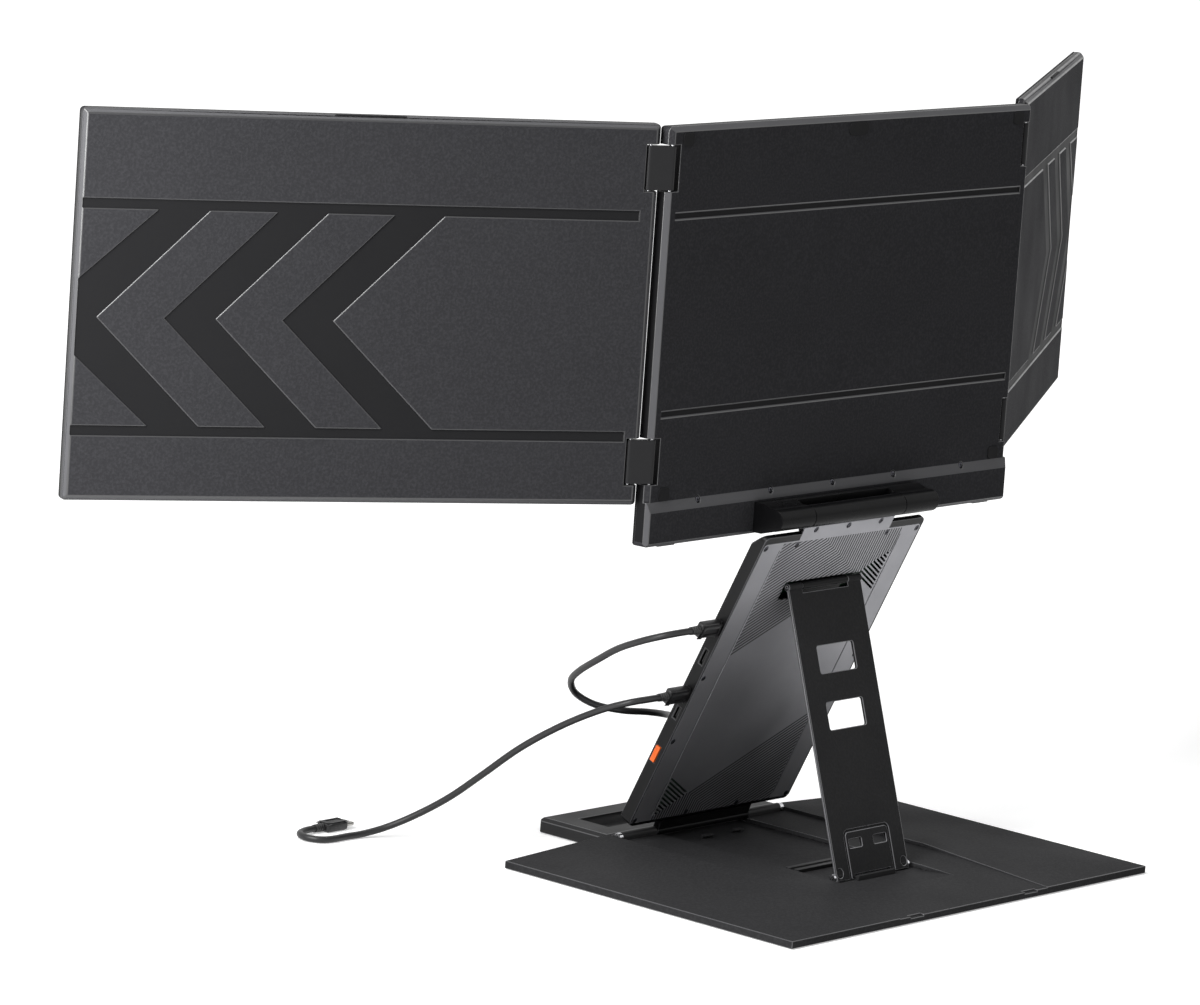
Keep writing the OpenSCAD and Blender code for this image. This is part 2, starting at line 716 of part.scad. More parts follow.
module tilt_shaft() color(steel) on_arm()
    translate([0, barrel_y, arm_l + barrel_up]) rod(shaft_r, 2 * (bracket_out - 2));

// --- Kickstand: x across, y outward, z up from its hinge ---

module prop_plate() color(black) on_prop() difference() {
    union() {
        difference() {
            translate([0, 0, -prop_l]) linear_extrude(prop_l) polygon([
                [-prop_w / 2 + prop_edge, -prop_t / 2], [prop_w / 2 - prop_edge, -prop_t / 2],
                [prop_w / 2, prop_edge - prop_t / 2], [prop_w / 2, prop_t / 2 - prop_edge],
                [prop_w / 2 - prop_edge, prop_t / 2], [-prop_w / 2 + prop_edge, prop_t / 2],
                [-prop_w / 2, prop_t / 2 - prop_edge], [-prop_w / 2, prop_edge - prop_t / 2]
            ]);
            box([-prop_slot_w / 2, -5, -4.5], [prop_slot_w / 2, 5, 5]);
            for (z = window_z)
                slab(5, 10) rounded([-window_w / 2, -z - window_h / 2],
                                    [window_w / 2, -z + window_h / 2], window_r);
            // embossed flap: groove round it, slots in it, gap under it
            difference() {
                slab(prop_t, prop_t / 2 + flap_deep)
                    rounded([-flap_w / 2, -prop_l - flap_out], [flap_w / 2, -prop_l + flap_l], flap_r);
                slab(2 * prop_t, 4 * prop_t)
                    rounded([-flap_w / 2 + groove, -prop_l - flap_out],
                            [flap_w / 2 - groove, -prop_l + flap_l - groove], flap_r - 1);
            }
            for (x = [-slot_x, slot_x])
                slab(5, 10) rounded([x - slot_w / 2, -slot_z - slot_h / 2],
                                    [x + slot_w / 2, -slot_z + slot_h / 2], 1);
            box([-flap_gap_w / 2, -5, -prop_l - 1], [flap_gap_w / 2, 5, -prop_l + flap_gap_l]);
            for (x = [stud_in - prop_w / 2, prop_w / 2 - stud_in])
                translate([x, prop_t / 2 + 1, -prop_l + stud_up])
                    rotate([90, 0, 0]) cylinder(r = stud_r, h = 1 + stud_h);
        }
        // knuckles of its hinge
        both() translate([(prop_slot_w + prop_w) / 4, 0, 0]) rod(prop_knuckle_r, (prop_w - prop_slot_w) / 2);
        // bosses for the foot rod, inside
        both() translate([(prop_w - boss_l) / 2, -rod_off, -prop_l + rod_up]) rod(rod_boss_r, boss_l);
    }
    rod(prop_pin_r + run, 2 * prop_w);
    translate([0, -rod_off, -prop_l + rod_up]) rod(rod_r - press, 2 * prop_w);
}

module prop_foot_rod() color(steel) on_prop() translate([0, -rod_off, -prop_l + rod_up]) {
    rod(rod_r, prop_w + 0.2);
    both() translate([prop_w / 2 + 0.8, 0, 0]) rod(rod_boss_r - 0.2, 1.6);
}

// --- Displays ---

// A display's outer shape: x 0 to w, y -t to 0, z 0 to h
module display_blank(w, h, t) {
    b = back_chamfer;
    f = front_chamfer;
    intersection() {
        slab(0, t) rounded([0, 0], [w, h], corner_r);
        rotate([90, 0, 90]) linear_extrude(w)
            polygon([[0, b], [0, h - b], [-b, h], [f - t, h], [-t, h - f], [-t, f], [f - t, 0], [-b, 0]]);
        linear_extrude(h)
            polygon([[b, 0], [w - b, 0], [w, -b], [w, f - t], [w - f, -t], [f, -t], [0, f - t], [0, -b]]);
    }
}

module rows() for (z = [hinge_low, hinge_high]) translate([0, 0, z]) children();

// Bores for the hinge pins above and below a notch
module pin_bores() cylinder(r = pin_r + 0.06, h = hinge_h + 2 * pin_in + 0.6, center = true);

// Screws above the chin: outward is -z, the seats' floor at 0
module at_centre_screws()
    for (x = [screw_in - centre_w / 2, -screw_x, 0, screw_x, centre_w / 2 - screw_in])
        translate([x, back_y - 1, screw_z]) rotate([90, 0, 0]) children();

module centre_outer() translate([-centre_w / 2, back_y, centre_z0]) {
    display_blank(centre_w, centre_h, centre_t);
    // chin
    intersection() {
        slab(chin_t, centre_t + chin_t) rounded([0, 0], [centre_w, centre_h], corner_r);
        rotate([90, 0, 90]) linear_extrude(centre_w) polygon([
            [-centre_t + front_chamfer, 0], [chin_t - 2, 0], [chin_t, 2], [chin_t, chin_top - centre_z0],
            [0, chin_slope - centre_z0], [-1, chin_slope - centre_z0],
            [-centre_t + front_chamfer, chin_slope - centre_z0]
        ]);
        linear_extrude(centre_h) polygon([
            [2, chin_t], [centre_w - 2, chin_t], [centre_w, chin_t - 3],
            [centre_w, front_chamfer - centre_t], [0, front_chamfer - centre_t], [0, chin_t - 3]
        ]);
    }
}

module centre_notches() both() rows() box(
    [centre_w / 2 - notch_in, back_y - centre_t - 1, -hinge_h / 2 - hinge_gap],
    [centre_w / 2 + 1, back_y + 5, hinge_h / 2 + hinge_gap]);

lit_top = centre_z0 + centre_h - top_border;
centre_in = back_y - centre_t + bezel_t;     // inner face of the bezel

module centre_back_cover() color(black) on_display() difference() {
    centre_outer();
    box([-centre_w, back_y - centre_t - 1, centre_z0 - 1], [centre_w, centre_in, centre_z0 + centre_h + 1]);
    centre_notches();
    // room for the panel, and for the board in the chin
    box([-lit_w / 2 - panel_edge - gap, centre_in - 1, lit_top - lit_h - 3],
        [lit_w / 2 + panel_edge + gap, back_y - back_wall, centre_z0 + centre_h - edge_wall]);
    box([board_in / 2 - lit_w / 2, centre_in - 1, centre_z0 + edge_wall],
        [lit_w / 2 - board_in / 2, back_y - back_wall + chin_t, chin_top + 0.5]);
    // grooves across the back
    for (z = [centre_h - groove_top, groove_bottom])
        translate([0, back_y, centre_z0 + z]) across(centre_w - 2 * groove_in) polygon([
        [1, groove_h / 2], [0, groove_h / 2], [-groove_deep, groove_h / 2 - 0.6],
        [-groove_deep, 0.8 - groove_h / 2], [0, -groove_h / 2], [1, -groove_h / 2]
    ]);
    at_centre_screws() {
        translate([0, 0, -4]) cylinder(r = screw_hole_r, h = 4);
        translate([0, 0, -4]) cylinder(r = screw_r + run, h = 8.4);
    }
    both() rows() translate([centre_w / 2 - pivot_in, back_y - pivot_deep, 0]) pin_bores();
}

module centre_bezel() color(black) on_display() difference() {
    intersection() {
        translate([-centre_w / 2, back_y, centre_z0]) display_blank(centre_w, centre_h, centre_t);
        box([-centre_w, back_y - centre_t, centre_z0 - 1], [centre_w, centre_in, centre_z0 + centre_h + 1]);
    }
    box([-lit_w / 2 - bezel_over, back_y - centre_t - 1, lit_top - lit_h - bezel_over],
        [lit_w / 2 + bezel_over, centre_in + 1, lit_top + bezel_over]);
    centre_notches();
}

module centre_glass() color([0.02, 0.02, 0.03]) on_display()
    box([-lit_w / 2 - panel_edge, centre_in, lit_top - lit_h - panel_edge],
        [lit_w / 2 + panel_edge, centre_in + glass_t, lit_top + panel_edge]);

module centre_lcd_panel() color(steel) on_display()
    box([-lit_w / 2 - panel_edge, centre_in + glass_t, lit_top - lit_h - panel_edge],
        [lit_w / 2 + panel_edge, centre_in + glass_t + lcd_t, lit_top + panel_edge]);

module centre_driver_board() color("darkgreen") on_display()
    box([board_in - lit_w / 2, back_y - back_wall + chin_t - board_t, centre_z0 + 2 * edge_wall],
        [lit_w / 2 - board_in, back_y - back_wall + chin_t, chin_top - 1]);

module centre_bumpers() color(rubber) on_display() {
    top = centre_z0 + centre_h - bumper_in;
    low = centre_z0 + bumper_low;
    side = centre_w / 2 - bumper_side;
    pad = centre_w / 2 - chin_pad_in;
    for (x = [-side, side], z = [top, low]) slab(back_y + bumper_t, bumper_t)
        rounded([x - bumper_w / 2, z - bumper_h / 2], [x + bumper_w / 2, z + bumper_h / 2], bumper_r);
    slab(back_y + bumper_t, bumper_t)
        rounded([-bumper_mid_w / 2, top - bumper_h / 2], [bumper_mid_w / 2, top + bumper_h / 2], 3.8);
    for (x = [-pad, pad]) box([x - chin_pad_w / 2, back_y - 6, centre_z0 - bumper_t],
                              [x + chin_pad_w / 2, back_y - 1, centre_z0]);
}

module centre_screws() color(steel) on_display() at_centre_screws() {
    translate([0, 0, -1.2]) cylinder(r = screw_hole_r - 0.4, h = 1.2);
    cylinder(r = screw_r, h = 4);
}

// U bracket between the chin and the barrel
module tilt_bracket() color(black) on_display() difference() {
    union() {
        box([-bracket_out, back_y + chin_t, bracket_low],
            [bracket_out, back_y + chin_t + bracket_t, bracket_top]);
        both() translate([(bracket_in + bracket_out) / 2, 0, 0]) {
            rod(barrel_r, bracket_out - bracket_in);
            across(bracket_out - bracket_in) polygon([
                [back_y + chin_t, bracket_low], [-1.3, -barrel_r + 0.12], [0, 0],
                [0, barrel_r], [-4, barrel_r], [back_y + chin_t + bracket_t, bracket_top],
                [back_y + chin_t, bracket_top]
            ]);
        }
    }
    rod(shaft_r + run, 2 * (bracket_out - 1.6));
}

// One side's pair of hinge blocks, in the frame of their first axis
module link_blocks(l) rows() difference() {
    union() {
        for (x = [0, l]) translate([x, 0, 0]) cylinder(r = link_r, h = hinge_h, center = true);
        translate([l / 2, 0, 0]) cube([l, 2 * link_r, hinge_h], center = true);
    }
    for (x = [0, l]) translate([x, 0, 0]) cylinder(r = pin_r - press, h = 2 * hinge_h, center = true);
}

module link_pins(l) rows() for (x = [0, l])
    translate([x, 0, 0]) cylinder(r = pin_r, h = hinge_h + 2 * pin_in, center = true);

side_in = bezel_t - side_t;                  // inner face of the side bezel
side_lit_x = side_w / 2 + side_shift;        // middle of the lit area
side_lit_z = side_h / 2;

module side_notches() translate([0, 0, -side_z0]) rows() box(
    [-1, -side_t - 1, -hinge_h / 2 - hinge_gap], [side_notch_in, 5, hinge_h / 2 + hinge_gap]);

// Raised shapes of the back's pattern: half bars at the outer side, bars, and the inner panel
module raised(low, high) {
    mid = (low + high) / 2;
    half = (high - low) / 2;
    out = side_w - back_chamfer;
    for (i = [0, 1]) polygon([
        for (p = [[0, half], [bar_w, half], [bar_w - half - bar_tip, 0],
                  [bar_w, -half], [0, -half], [-half - bar_tip, 0]])
            [out - bar_first - i * bar_pitch - p[0], mid + p[1]]
    ]);
    x0 = out - bar_first - 2 * bar_pitch;
    polygon([[x0, high], [relief_in, high], [relief_in, low], [x0, low], [x0 + half + bar_tip, mid]]);
    for (s = [-1, 1]) polygon([
        [out, mid + s * half], [out - bar_w - 5, mid + s * half], [out, mid + s * (half - bar_w)]
    ]);
}

module side_back_cover() color(black) difference() {
    display_blank(side_w, side_h, side_t);
    box([-1, -side_t - 1, -1], [side_w + 1, side_in, side_h + 1]);
    side_notches();
    box([side_lit_x - lit_w / 2 - panel_edge - gap, side_in - 1, edge_wall],
        [side_lit_x + lit_w / 2 + panel_edge + gap, -back_wall, side_h - edge_wall]);
    // recessed zone round the raised shapes
    slab(1, 1 + relief) difference() {
        translate([relief_in, relief_low])
            square([side_w - back_chamfer - relief_in, side_h - relief_low - relief_high]);
        raised(relief_low + relief_rim, side_h - relief_high - relief_rim);
    }
    // slot for the bar on the top edge
    box([side_lit_x - pad_w / 2 - gap, -back_chamfer - 0.2, side_h - pad_t],
        [side_lit_x + pad_w / 2 + gap, 1, side_h + 1]);
    translate([side_pivot_in, -pivot_deep, -side_z0]) rows() pin_bores();
}

module side_bezel() color(black) difference() {
    intersection() {
        display_blank(side_w, side_h, side_t);
        box([-1, -side_t, -1], [side_w + 1, side_in, side_h + 1]);
    }
    box([side_lit_x - lit_w / 2 - bezel_over, -side_t - 1, side_lit_z - lit_h / 2 - bezel_over],
        [side_lit_x + lit_w / 2 + bezel_over, 1, side_lit_z + lit_h / 2 + bezel_over]);
    side_notches();
}

// A flat layer behind the side display's bezel
module side_layer(y, t) box(
    [side_lit_x - lit_w / 2 - panel_edge, y, side_lit_z - lit_h / 2 - panel_edge],
    [side_lit_x + lit_w / 2 + panel_edge, y + t, side_lit_z + lit_h / 2 + panel_edge]);

module side_glass() color([0.02, 0.02, 0.03]) side_layer(side_in, glass_t);

module side_lcd_panel() color(steel) side_layer(side_in + glass_t, lcd_t);

module side_driver_board() color("darkgreen")
    translate([side_lit_x + board_in - lit_w / 2, -back_wall - board_t, side_board_up])
        cube([side_board_l, board_t, side_board_h]);

module side_top_pad() color(rubber)
    box([side_lit_x - pad_w / 2, -back_chamfer, side_h - pad_t],
        [side_lit_x + pad_w / 2, -back_chamfer / 2, side_h]);

// --- Cords and plugs ---

// A plug: x away from its socket, z up
module plug_shape() {
    box([-tip_l - plug_gap, -tip_h / 2, -tip_w / 2], [0.2, tip_h / 2, tip_w / 2]);
    rotate([90, 0, 90]) linear_extrude(plug_l)
        rounded([-plug_h / 2, -plug_w / 2], [plug_h / 2, plug_w / 2], 1.6);
    translate([plug_l + neck_l / 2 - 0.1, 0, 0]) rod(cord_d / 2 + 0.5, neck_l + 0.2);
}

module arm_plug(z) on_arm() translate([arm_w / 2 + plug_gap, port_y, z]) plug_shape();

function arm_point(x, y, z) = [
    x,
    arm_y0 + z * cos(arm_angle) + y * sin(arm_angle),
    arm_z0 + z * sin(arm_angle) - y * cos(arm_angle)
];

function unit(v) = v / norm(v);

// A smooth line through the points, with steps rings to each stretch
function smooth(p, n) = concat([
    for (i = [0 : len(p) - 2], j = [0 : n - 1])
        let(t = j / n, a = p[max(i - 1, 0)], b = p[i], c = p[i + 1], d = p[min(i + 2, len(p) - 1)])
            0.5 * (2 * b + (c - a) * t + (2 * a - 5 * b + 4 * c - d) * t * t
                + (3 * b - a - 3 * c + d) * t * t * t)
], [p[len(p) - 1]]);

// Sideways direction of each ring, carried along without twist
function carried(t, i, s) = i == len(t) ? [] :
    let(n = unit(s - (s * t[i]) * t[i])) concat([n], carried(t, i + 1, n));

// A round tube along the line, its ends square to first and last
module tube(line, first, last) {
    n = len(line);
    dirs = [for (i = [0 : n - 1])
        i == 0 ? first : i == n - 1 ? last : unit(line[i + 1] - line[i - 1])];
    side = carried(dirs, 0, [0, 0, 1]);
    points = [for (i = [0 : n - 1], k = [0 : cord_sides - 1])
        let(a = 360 * k / cord_sides, up = cross(dirs[i], side[i]))
            line[i] + cord_d / 2 * (cos(a) * side[i] + sin(a) * up)];
    m = cord_sides;
    faces = concat(
        [[for (k = [0 : m - 1]) k]],
        [[for (k = [m - 1 : -1 : 0]) (n - 1) * m + k]],
        [for (i = [0 : n - 2], k = [0 : m - 1])
            [i * m + k, (i + 1) * m + k, (i + 1) * m + (k + 1) % m, i * m + (k + 1) % m]]
    );
    polyhedron(points, faces, convexity = 6);
}

signal_start = arm_point(plug_x, port_y, plug_z[0]);
power_start = arm_point(plug_x, port_y, plug_z[1]);
hank_way = [cos(hank_turn), sin(hank_turn), 0];

module signal_cord() color(rubber)
    tube(smooth(concat([signal_start], signal_route, [signal_end]), steps), [1, 0, 0], [-1, 0, 0]);

module signal_cord_arm_plug() color(black) arm_plug(plug_z[0]);

module signal_cord_end_plug() color(black)
    translate(signal_end + [-plug_l - neck_l, 0, 0]) rotate([90, 0, 0]) plug_shape();

module power_cord() color(rubber)
    tube(smooth(concat([power_start], power_route, [power_end]), steps), [1, 0, 0], -hank_way);

module power_cord_arm_plug() color(black) arm_plug(plug_z[1]);

module hank_outline(r) {
    for (s = [-1, 1]) translate([s * hank_l / 2, 0]) circle(r);
    square([hank_l, 2 * r], center = true);
}

module power_cord_hank() color(rubber) translate(hank_at) rotate([0, 0, hank_turn]) {
    linear_extrude(hank_h) difference() {
        hank_outline(hank_r + hank_t / 2);
        hank_outline(hank_r - hank_t / 2);
    }
    // the cord's last stretch, to its plug
    translate([-(hank_l / 2 + hank_out) / 2, hank_lane, plug_h / 2])
        rod(cord_d / 2, hank_out - hank_l / 2 - 0.1);
}

module power_cord_end_plug() color(black)
    translate(hank_at) rotate([0, 0, hank_turn])
        translate([-hank_out - plug_l - neck_l, hank_lane, plug_h / 2])
            rotate([90, 0, 0]) plug_shape();

base_plate();
base_bottom_cover();
base_weights();
base_feet();
base_screws();
front_foot();
arm_hinge_blocks();
arm_hinge_pin();
tray_hooks();
prop_stop_bar();
prop_foot_stop();
arm_frame();
arm_back_cover();
arm_cover_screws();
arm_circuit_board();
usb_c_ports();
mini_port();
power_inlet();
prop_hinge();
prop_hinge_pin();
tilt_barrel();
tilt_shaft();
power_button();
prop_plate();
prop_foot_rod();
centre_back_cover();
centre_bezel();
centre_lcd_panel();
centre_glass();
centre_driver_board();
centre_bumpers();
centre_screws();
tilt_bracket();
color(black) on_link(side_angle) link_blocks(link_right);  // right_hinge_blocks
color(steel) on_link(side_angle) link_pins(link_right);  // right_hinge_pins
on_right() side_back_cover();  // right_back_cover
on_right() side_bezel();  // right_bezel
on_right() side_lcd_panel();  // right_lcd_panel
on_right() side_glass();  // right_glass
on_right() side_driver_board();  // right_driver_board
on_right() side_top_pad();  // right_top_pad
color(black) mirror([1, 0, 0]) on_link(side_angle + left_kink) link_blocks(link_left);  // left_hinge_blocks
color(steel) mirror([1, 0, 0]) on_link(side_angle + left_kink) link_pins(link_left);  // left_hinge_pins
on_left() side_back_cover();  // left_back_cover
on_left() side_bezel();  // left_bezel
on_left() side_lcd_panel();  // left_lcd_panel
on_left() side_glass();  // left_glass
on_left() side_driver_board();  // left_driver_board
on_left() side_top_pad();  // left_top_pad
signal_cord();
signal_cord_arm_plug();
signal_cord_end_plug();
power_cord();
power_cord_arm_plug();
power_cord_hank();
power_cord_end_plug();
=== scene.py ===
"""Dresses a triple-screen laptop extender around its packed construction model.

The base, the leaning arm, the kickstand, the three displays and the two cords are each
a class. A class holds its sizes in millimetres and builds, places and dresses its pieces.
"""

import logging
import math
from dataclasses import dataclass, field
from enum import Enum
from functools import partial
from typing import Any, Callable, Optional, Sequence

import bpy
from mathutils import Matrix, Vector


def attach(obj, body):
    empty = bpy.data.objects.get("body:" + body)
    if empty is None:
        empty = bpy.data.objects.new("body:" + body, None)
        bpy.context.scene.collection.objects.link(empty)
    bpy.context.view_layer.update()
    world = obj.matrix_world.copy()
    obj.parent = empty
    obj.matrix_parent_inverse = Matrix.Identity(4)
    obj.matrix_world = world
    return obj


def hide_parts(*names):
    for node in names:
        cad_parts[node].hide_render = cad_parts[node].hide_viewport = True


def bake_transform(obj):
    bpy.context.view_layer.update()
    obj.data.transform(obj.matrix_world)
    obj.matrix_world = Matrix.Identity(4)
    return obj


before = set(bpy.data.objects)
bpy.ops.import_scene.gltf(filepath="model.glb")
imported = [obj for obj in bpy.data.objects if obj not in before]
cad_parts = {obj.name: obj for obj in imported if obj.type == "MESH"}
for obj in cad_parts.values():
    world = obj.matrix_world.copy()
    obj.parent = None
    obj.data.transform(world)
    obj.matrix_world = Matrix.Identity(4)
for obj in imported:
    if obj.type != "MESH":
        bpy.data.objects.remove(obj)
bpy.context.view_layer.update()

log = logging.getLogger("screen_extender")

MM = 0.001
UP = Vector((0.0, 0.0, 1.0))

# Vertices nearer than this are one, and faces that turn less than this are one face
MERGE_M = 2e-6
FLAT_DEG = 0.6
# Least turn between two faces for the edge between them to be eased
OUTER_DEG = 28.0
# How far a face's normal leans toward the back: a wall's less, a flat face's more
WALL_LEAN = 0.2
FLAT_LEAN = 0.985
# Least length of a chamfer or wall that gets a finish of its own, its painted highlight or shade
WIDE_MM = 12.0
# The heights of the grain between which its tops are painted paler as a highlight, and how much
# paler they are
TOPS = (0.42, 0.68)
PALER = 2.4

Point = Sequence[float]
Profile = Sequence[tuple[float, float]]
Colour = tuple[float, ...]
Socket = bpy.types.NodeSocket
Tree = bpy.types.NodeTree
Thing = bpy.types.Object


# --- Colour and nodes ---------------------------------------------------------------


def srgb(hex_colour: str) -> Colour:
    """Turns an sRGB hex colour into the linear colour that a shader socket takes.

    Args:
        hex_colour: Six hex digits after a hash.

    Returns:
        Red, green, blue and alpha, linear, from 0 to 1.
    """
    parts = [int(hex_colour[i : i + 2], 16) / 255 for i in (1, 3, 5)]
    linear = [c / 12.92 if c <= 0.04045 else ((c + 0.055) / 1.055) ** 2.4 for c in parts]
    return (linear[0], linear[1], linear[2], 1.0)


def add_node(
    tree: Tree,
    kind: str,
    values: Optional[dict[Any, Any]] = None,
    links: Optional[dict[Any, Socket]] = None,
) -> bpy.types.Node:
    """Adds one node with its settings and the links into it.

    Args:
        tree: The node tree.
        kind: The node's type name.
        values: Settings by input name, input number or property name.
        links: Sockets to link from, by input name or number.

    Returns:
        The new node.
    """
    node = tree.nodes.new(kind)
    for key, value in (values or {}).items():
        if isinstance(key, int) or key in node.inputs:
            node.inputs[key].default_value = value
        else:
            setattr(node, key, value)
    for key, socket in (links or {}).items():
        tree.links.new(socket, node.inputs[key])
    return node


def combine(tree: Tree, operation: str, *terms: Any, clamp: bool = False) -> Socket:
    """Combines sockets and numbers with one arithmetic step.

    Args:
        tree: The node tree.
        operation: The arithmetic operation's name.
        terms: Sockets or plain numbers, in order.
        clamp: Whether the result stays between 0 and 1.

    Returns:
        The result's socket.
    """
    values = {i: t for i, t in enumerate(terms) if isinstance(t, (int, float))}
    links = {i: t for i, t in enumerate(terms) if not isinstance(t, (int, float))}
    settings = {"operation": operation, "use_clamp": clamp}
    settings.update(values)
    return add_node(tree, "ShaderNodeMath", settings, links).outputs[0]


def ranged(
    tree: Tree, value: Socket, before: tuple[float, float], after: tuple[float, float]
) -> Socket:
    """Maps one range of a value onto another, and holds it at the ends.

    Args:
        tree: The node tree.
        value: The value's socket.
        before: The range that is mapped.
        after: What the range becomes.

    Returns:
        The result's socket.
    """
    names = ("From Min", "From Max", "To Min", "To Max")
    limits = dict(zip(names, before + after))
    return add_node(tree, "ShaderNodeMapRange", limits, {"Value": value}).outputs["Result"]


def noise(
    tree: Tree, place: Socket, size_mm: float, detail: float = 2.0, roughness: float = 0.5
) -> Socket:
    """Adds noise with features of about the size asked for.

    Args:
        tree: The node tree.
        place: The coordinates to read, in metres.
        size_mm: The features' size.
        detail: Finer octaves.
        roughness: How much the finer octaves weigh.

    Returns:
        The noise, from 0 to 1.
    """
    values = {"Scale": 1000.0 / size_mm, "Detail": detail, "Roughness": roughness}
    return add_node(tree, "ShaderNodeTexNoise", values, {"Vector": place}).outputs["Fac"]


# --- Finishes -----------------------------------------------------------------------


@dataclass(frozen=True)
class Surface:
    """A material that is being made: its node tree, its shader and what it reads."""

    tree: Tree
    shader: bpy.types.Node
    place: Socket

    def noise(self, size_mm: float, detail: float = 2.0, roughness: float = 0.5) -> Socket:
        """Returns noise over the surface; see the function of that name."""
        return noise(self.tree, self.place, size_mm, detail, roughness)

    def relief(self, height: Socket, depth_mm: float, under: Optional[Socket] = None) -> Socket:
        """Turns a height into a relief and shows it.

        Args:
            height: The height, from 0 to 1.
            depth_mm: The depth that 1 stands for.
            under: The relief that it lies on, if there is one.

        Returns:
            The relief, for another one to lie on.
        """
        links = {"Height": height}
        if under is not None:
            links["Normal"] = under
        values = {"Strength": 1.0, "Distance": depth_mm * MM}
        bump = add_node(self.tree, "ShaderNodeBump", values, links)
        self.tree.links.new(bump.outputs["Normal"], self.shader.inputs["Normal"])
        return bump.outputs["Normal"]

    def tint(self, share: Socket, colour: Colour, blend: str = "MIX") -> None:
        """Lays another colour over the one shown so far.

        Args:
            share: How much of it shows, from 0 to 1.
            colour: The colour, linear.
            blend: How it is laid over the first.
        """
        base = self.shader.inputs["Base Color"]
        values = {
            "data_type": "RGBA", "blend_type": blend, 6: tuple(base.default_value), 7: colour
        }
        links = {0: share}
        if base.links:
            links[6] = base.links[0].from_socket
        laid = add_node(self.tree, "ShaderNodeMix", values, links)
        self.tree.links.new(laid.outputs[2], base)


@dataclass(frozen=True)
class Finish:
    """A material and how its surface was made.

    The grain is a fine relief, and a painted highlight pales its tops, as where the light
    catches them. The drift is a slow change of gloss over the surface, as handling,
    polishing of the mould and uneven cooling leave it.
    """

    name: str
    colour: str
    roughness: float
    metallic: float = 0.0
    specular: float = 0.5
    grain_mm: float = 0.8
    grain_depth_mm: float = 0.02
    drift_mm: float = 30.0
    drift: float = 0.05
    shade: float = 0.88
    tops_highlight: float = 0.0

    def material(self) -> bpy.types.Material:
        """Returns the finish's material, made at its first use."""
        found = bpy.data.materials.get(self.name)
        if found is not None:
            return found
        made = bpy.data.materials.new(self.name)
        made.use_nodes = True
        tree = made.node_tree
        shader = tree.nodes["Principled BSDF"]
        shader.inputs["Base Color"].default_value = srgb(self.colour)
        shader.inputs["Roughness"].default_value = self.roughness
        shader.inputs["Metallic"].default_value = self.metallic
        if self.metallic < 0.5:
            shader.inputs["Specular IOR Level"].default_value = self.specular
        place = add_node(tree, "ShaderNodeTexCoord").outputs["Object"]
        surface = Surface(tree, shader, place)
        self.drifted(surface)
        self.pattern(surface)
        return made

    def scaled(self, factor: float) -> Colour:
        """Returns the finish's colour times a factor, linear."""
        return tuple(min(1.0, c * factor) for c in srgb(self.colour)[:3]) + (1.0,)

    def drifted(self, surface: Surface) -> None:
        """Lets gloss and shade drift slowly over the surface.

        Args:
            surface: The material that is being made.
        """
        slow = surface.noise(self.drift_mm, 3.0)
        limits = (max(0.02, self.roughness - self.drift), min(1.0, self.roughness + self.drift))
        gloss = ranged(surface.tree, slow, (0.3, 0.7), limits)
        surface.tree.links.new(gloss, surface.shader.inputs["Roughness"])
        surface.tint(slow, self.scaled(self.shade))

    def pattern(self, surface: Surface) -> None:
        """Gives the surface its grain, with a painted highlight on the grain's tops.

        Args:
            surface: The material that is being made.
        """
        grain = surface.noise(self.grain_mm, roughness=0.6)
        # Painted highlight: the grain's tops are painted paler, as where the light catches them
        if self.tops_highlight > 0:
            tops = ranged(surface.tree, grain, TOPS, (0.0, self.tops_highlight))
            surface.tint(tops, self.scaled(PALER))
        surface.relief(grain, self.grain_depth_mm)


@dataclass(frozen=True)
class TurnedSteel(Finish):
    """Bright steel turned on a lathe: fine rings round an axis along X."""

    ring_mm: float = 0.5
    smear: float = 20.0

    def pattern(self, surface: Surface) -> None:
        """Draws the tool's rings, a little coarser than real so that they show.

        Args:
            surface: The material that is being made.
        """
        stretch = {"Scale": (1000.0 / self.ring_mm, self.smear, self.smear)}
        rings = add_node(surface.tree, "ShaderNodeMapping", stretch, {"Vector": surface.place})
        # The mapping already sets the rings' size, so the noise's own scale is 1
        ringed = noise(surface.tree, rings.outputs["Vector"], 1000.0, 1.0)
        surface.relief(ringed, self.grain_depth_mm)


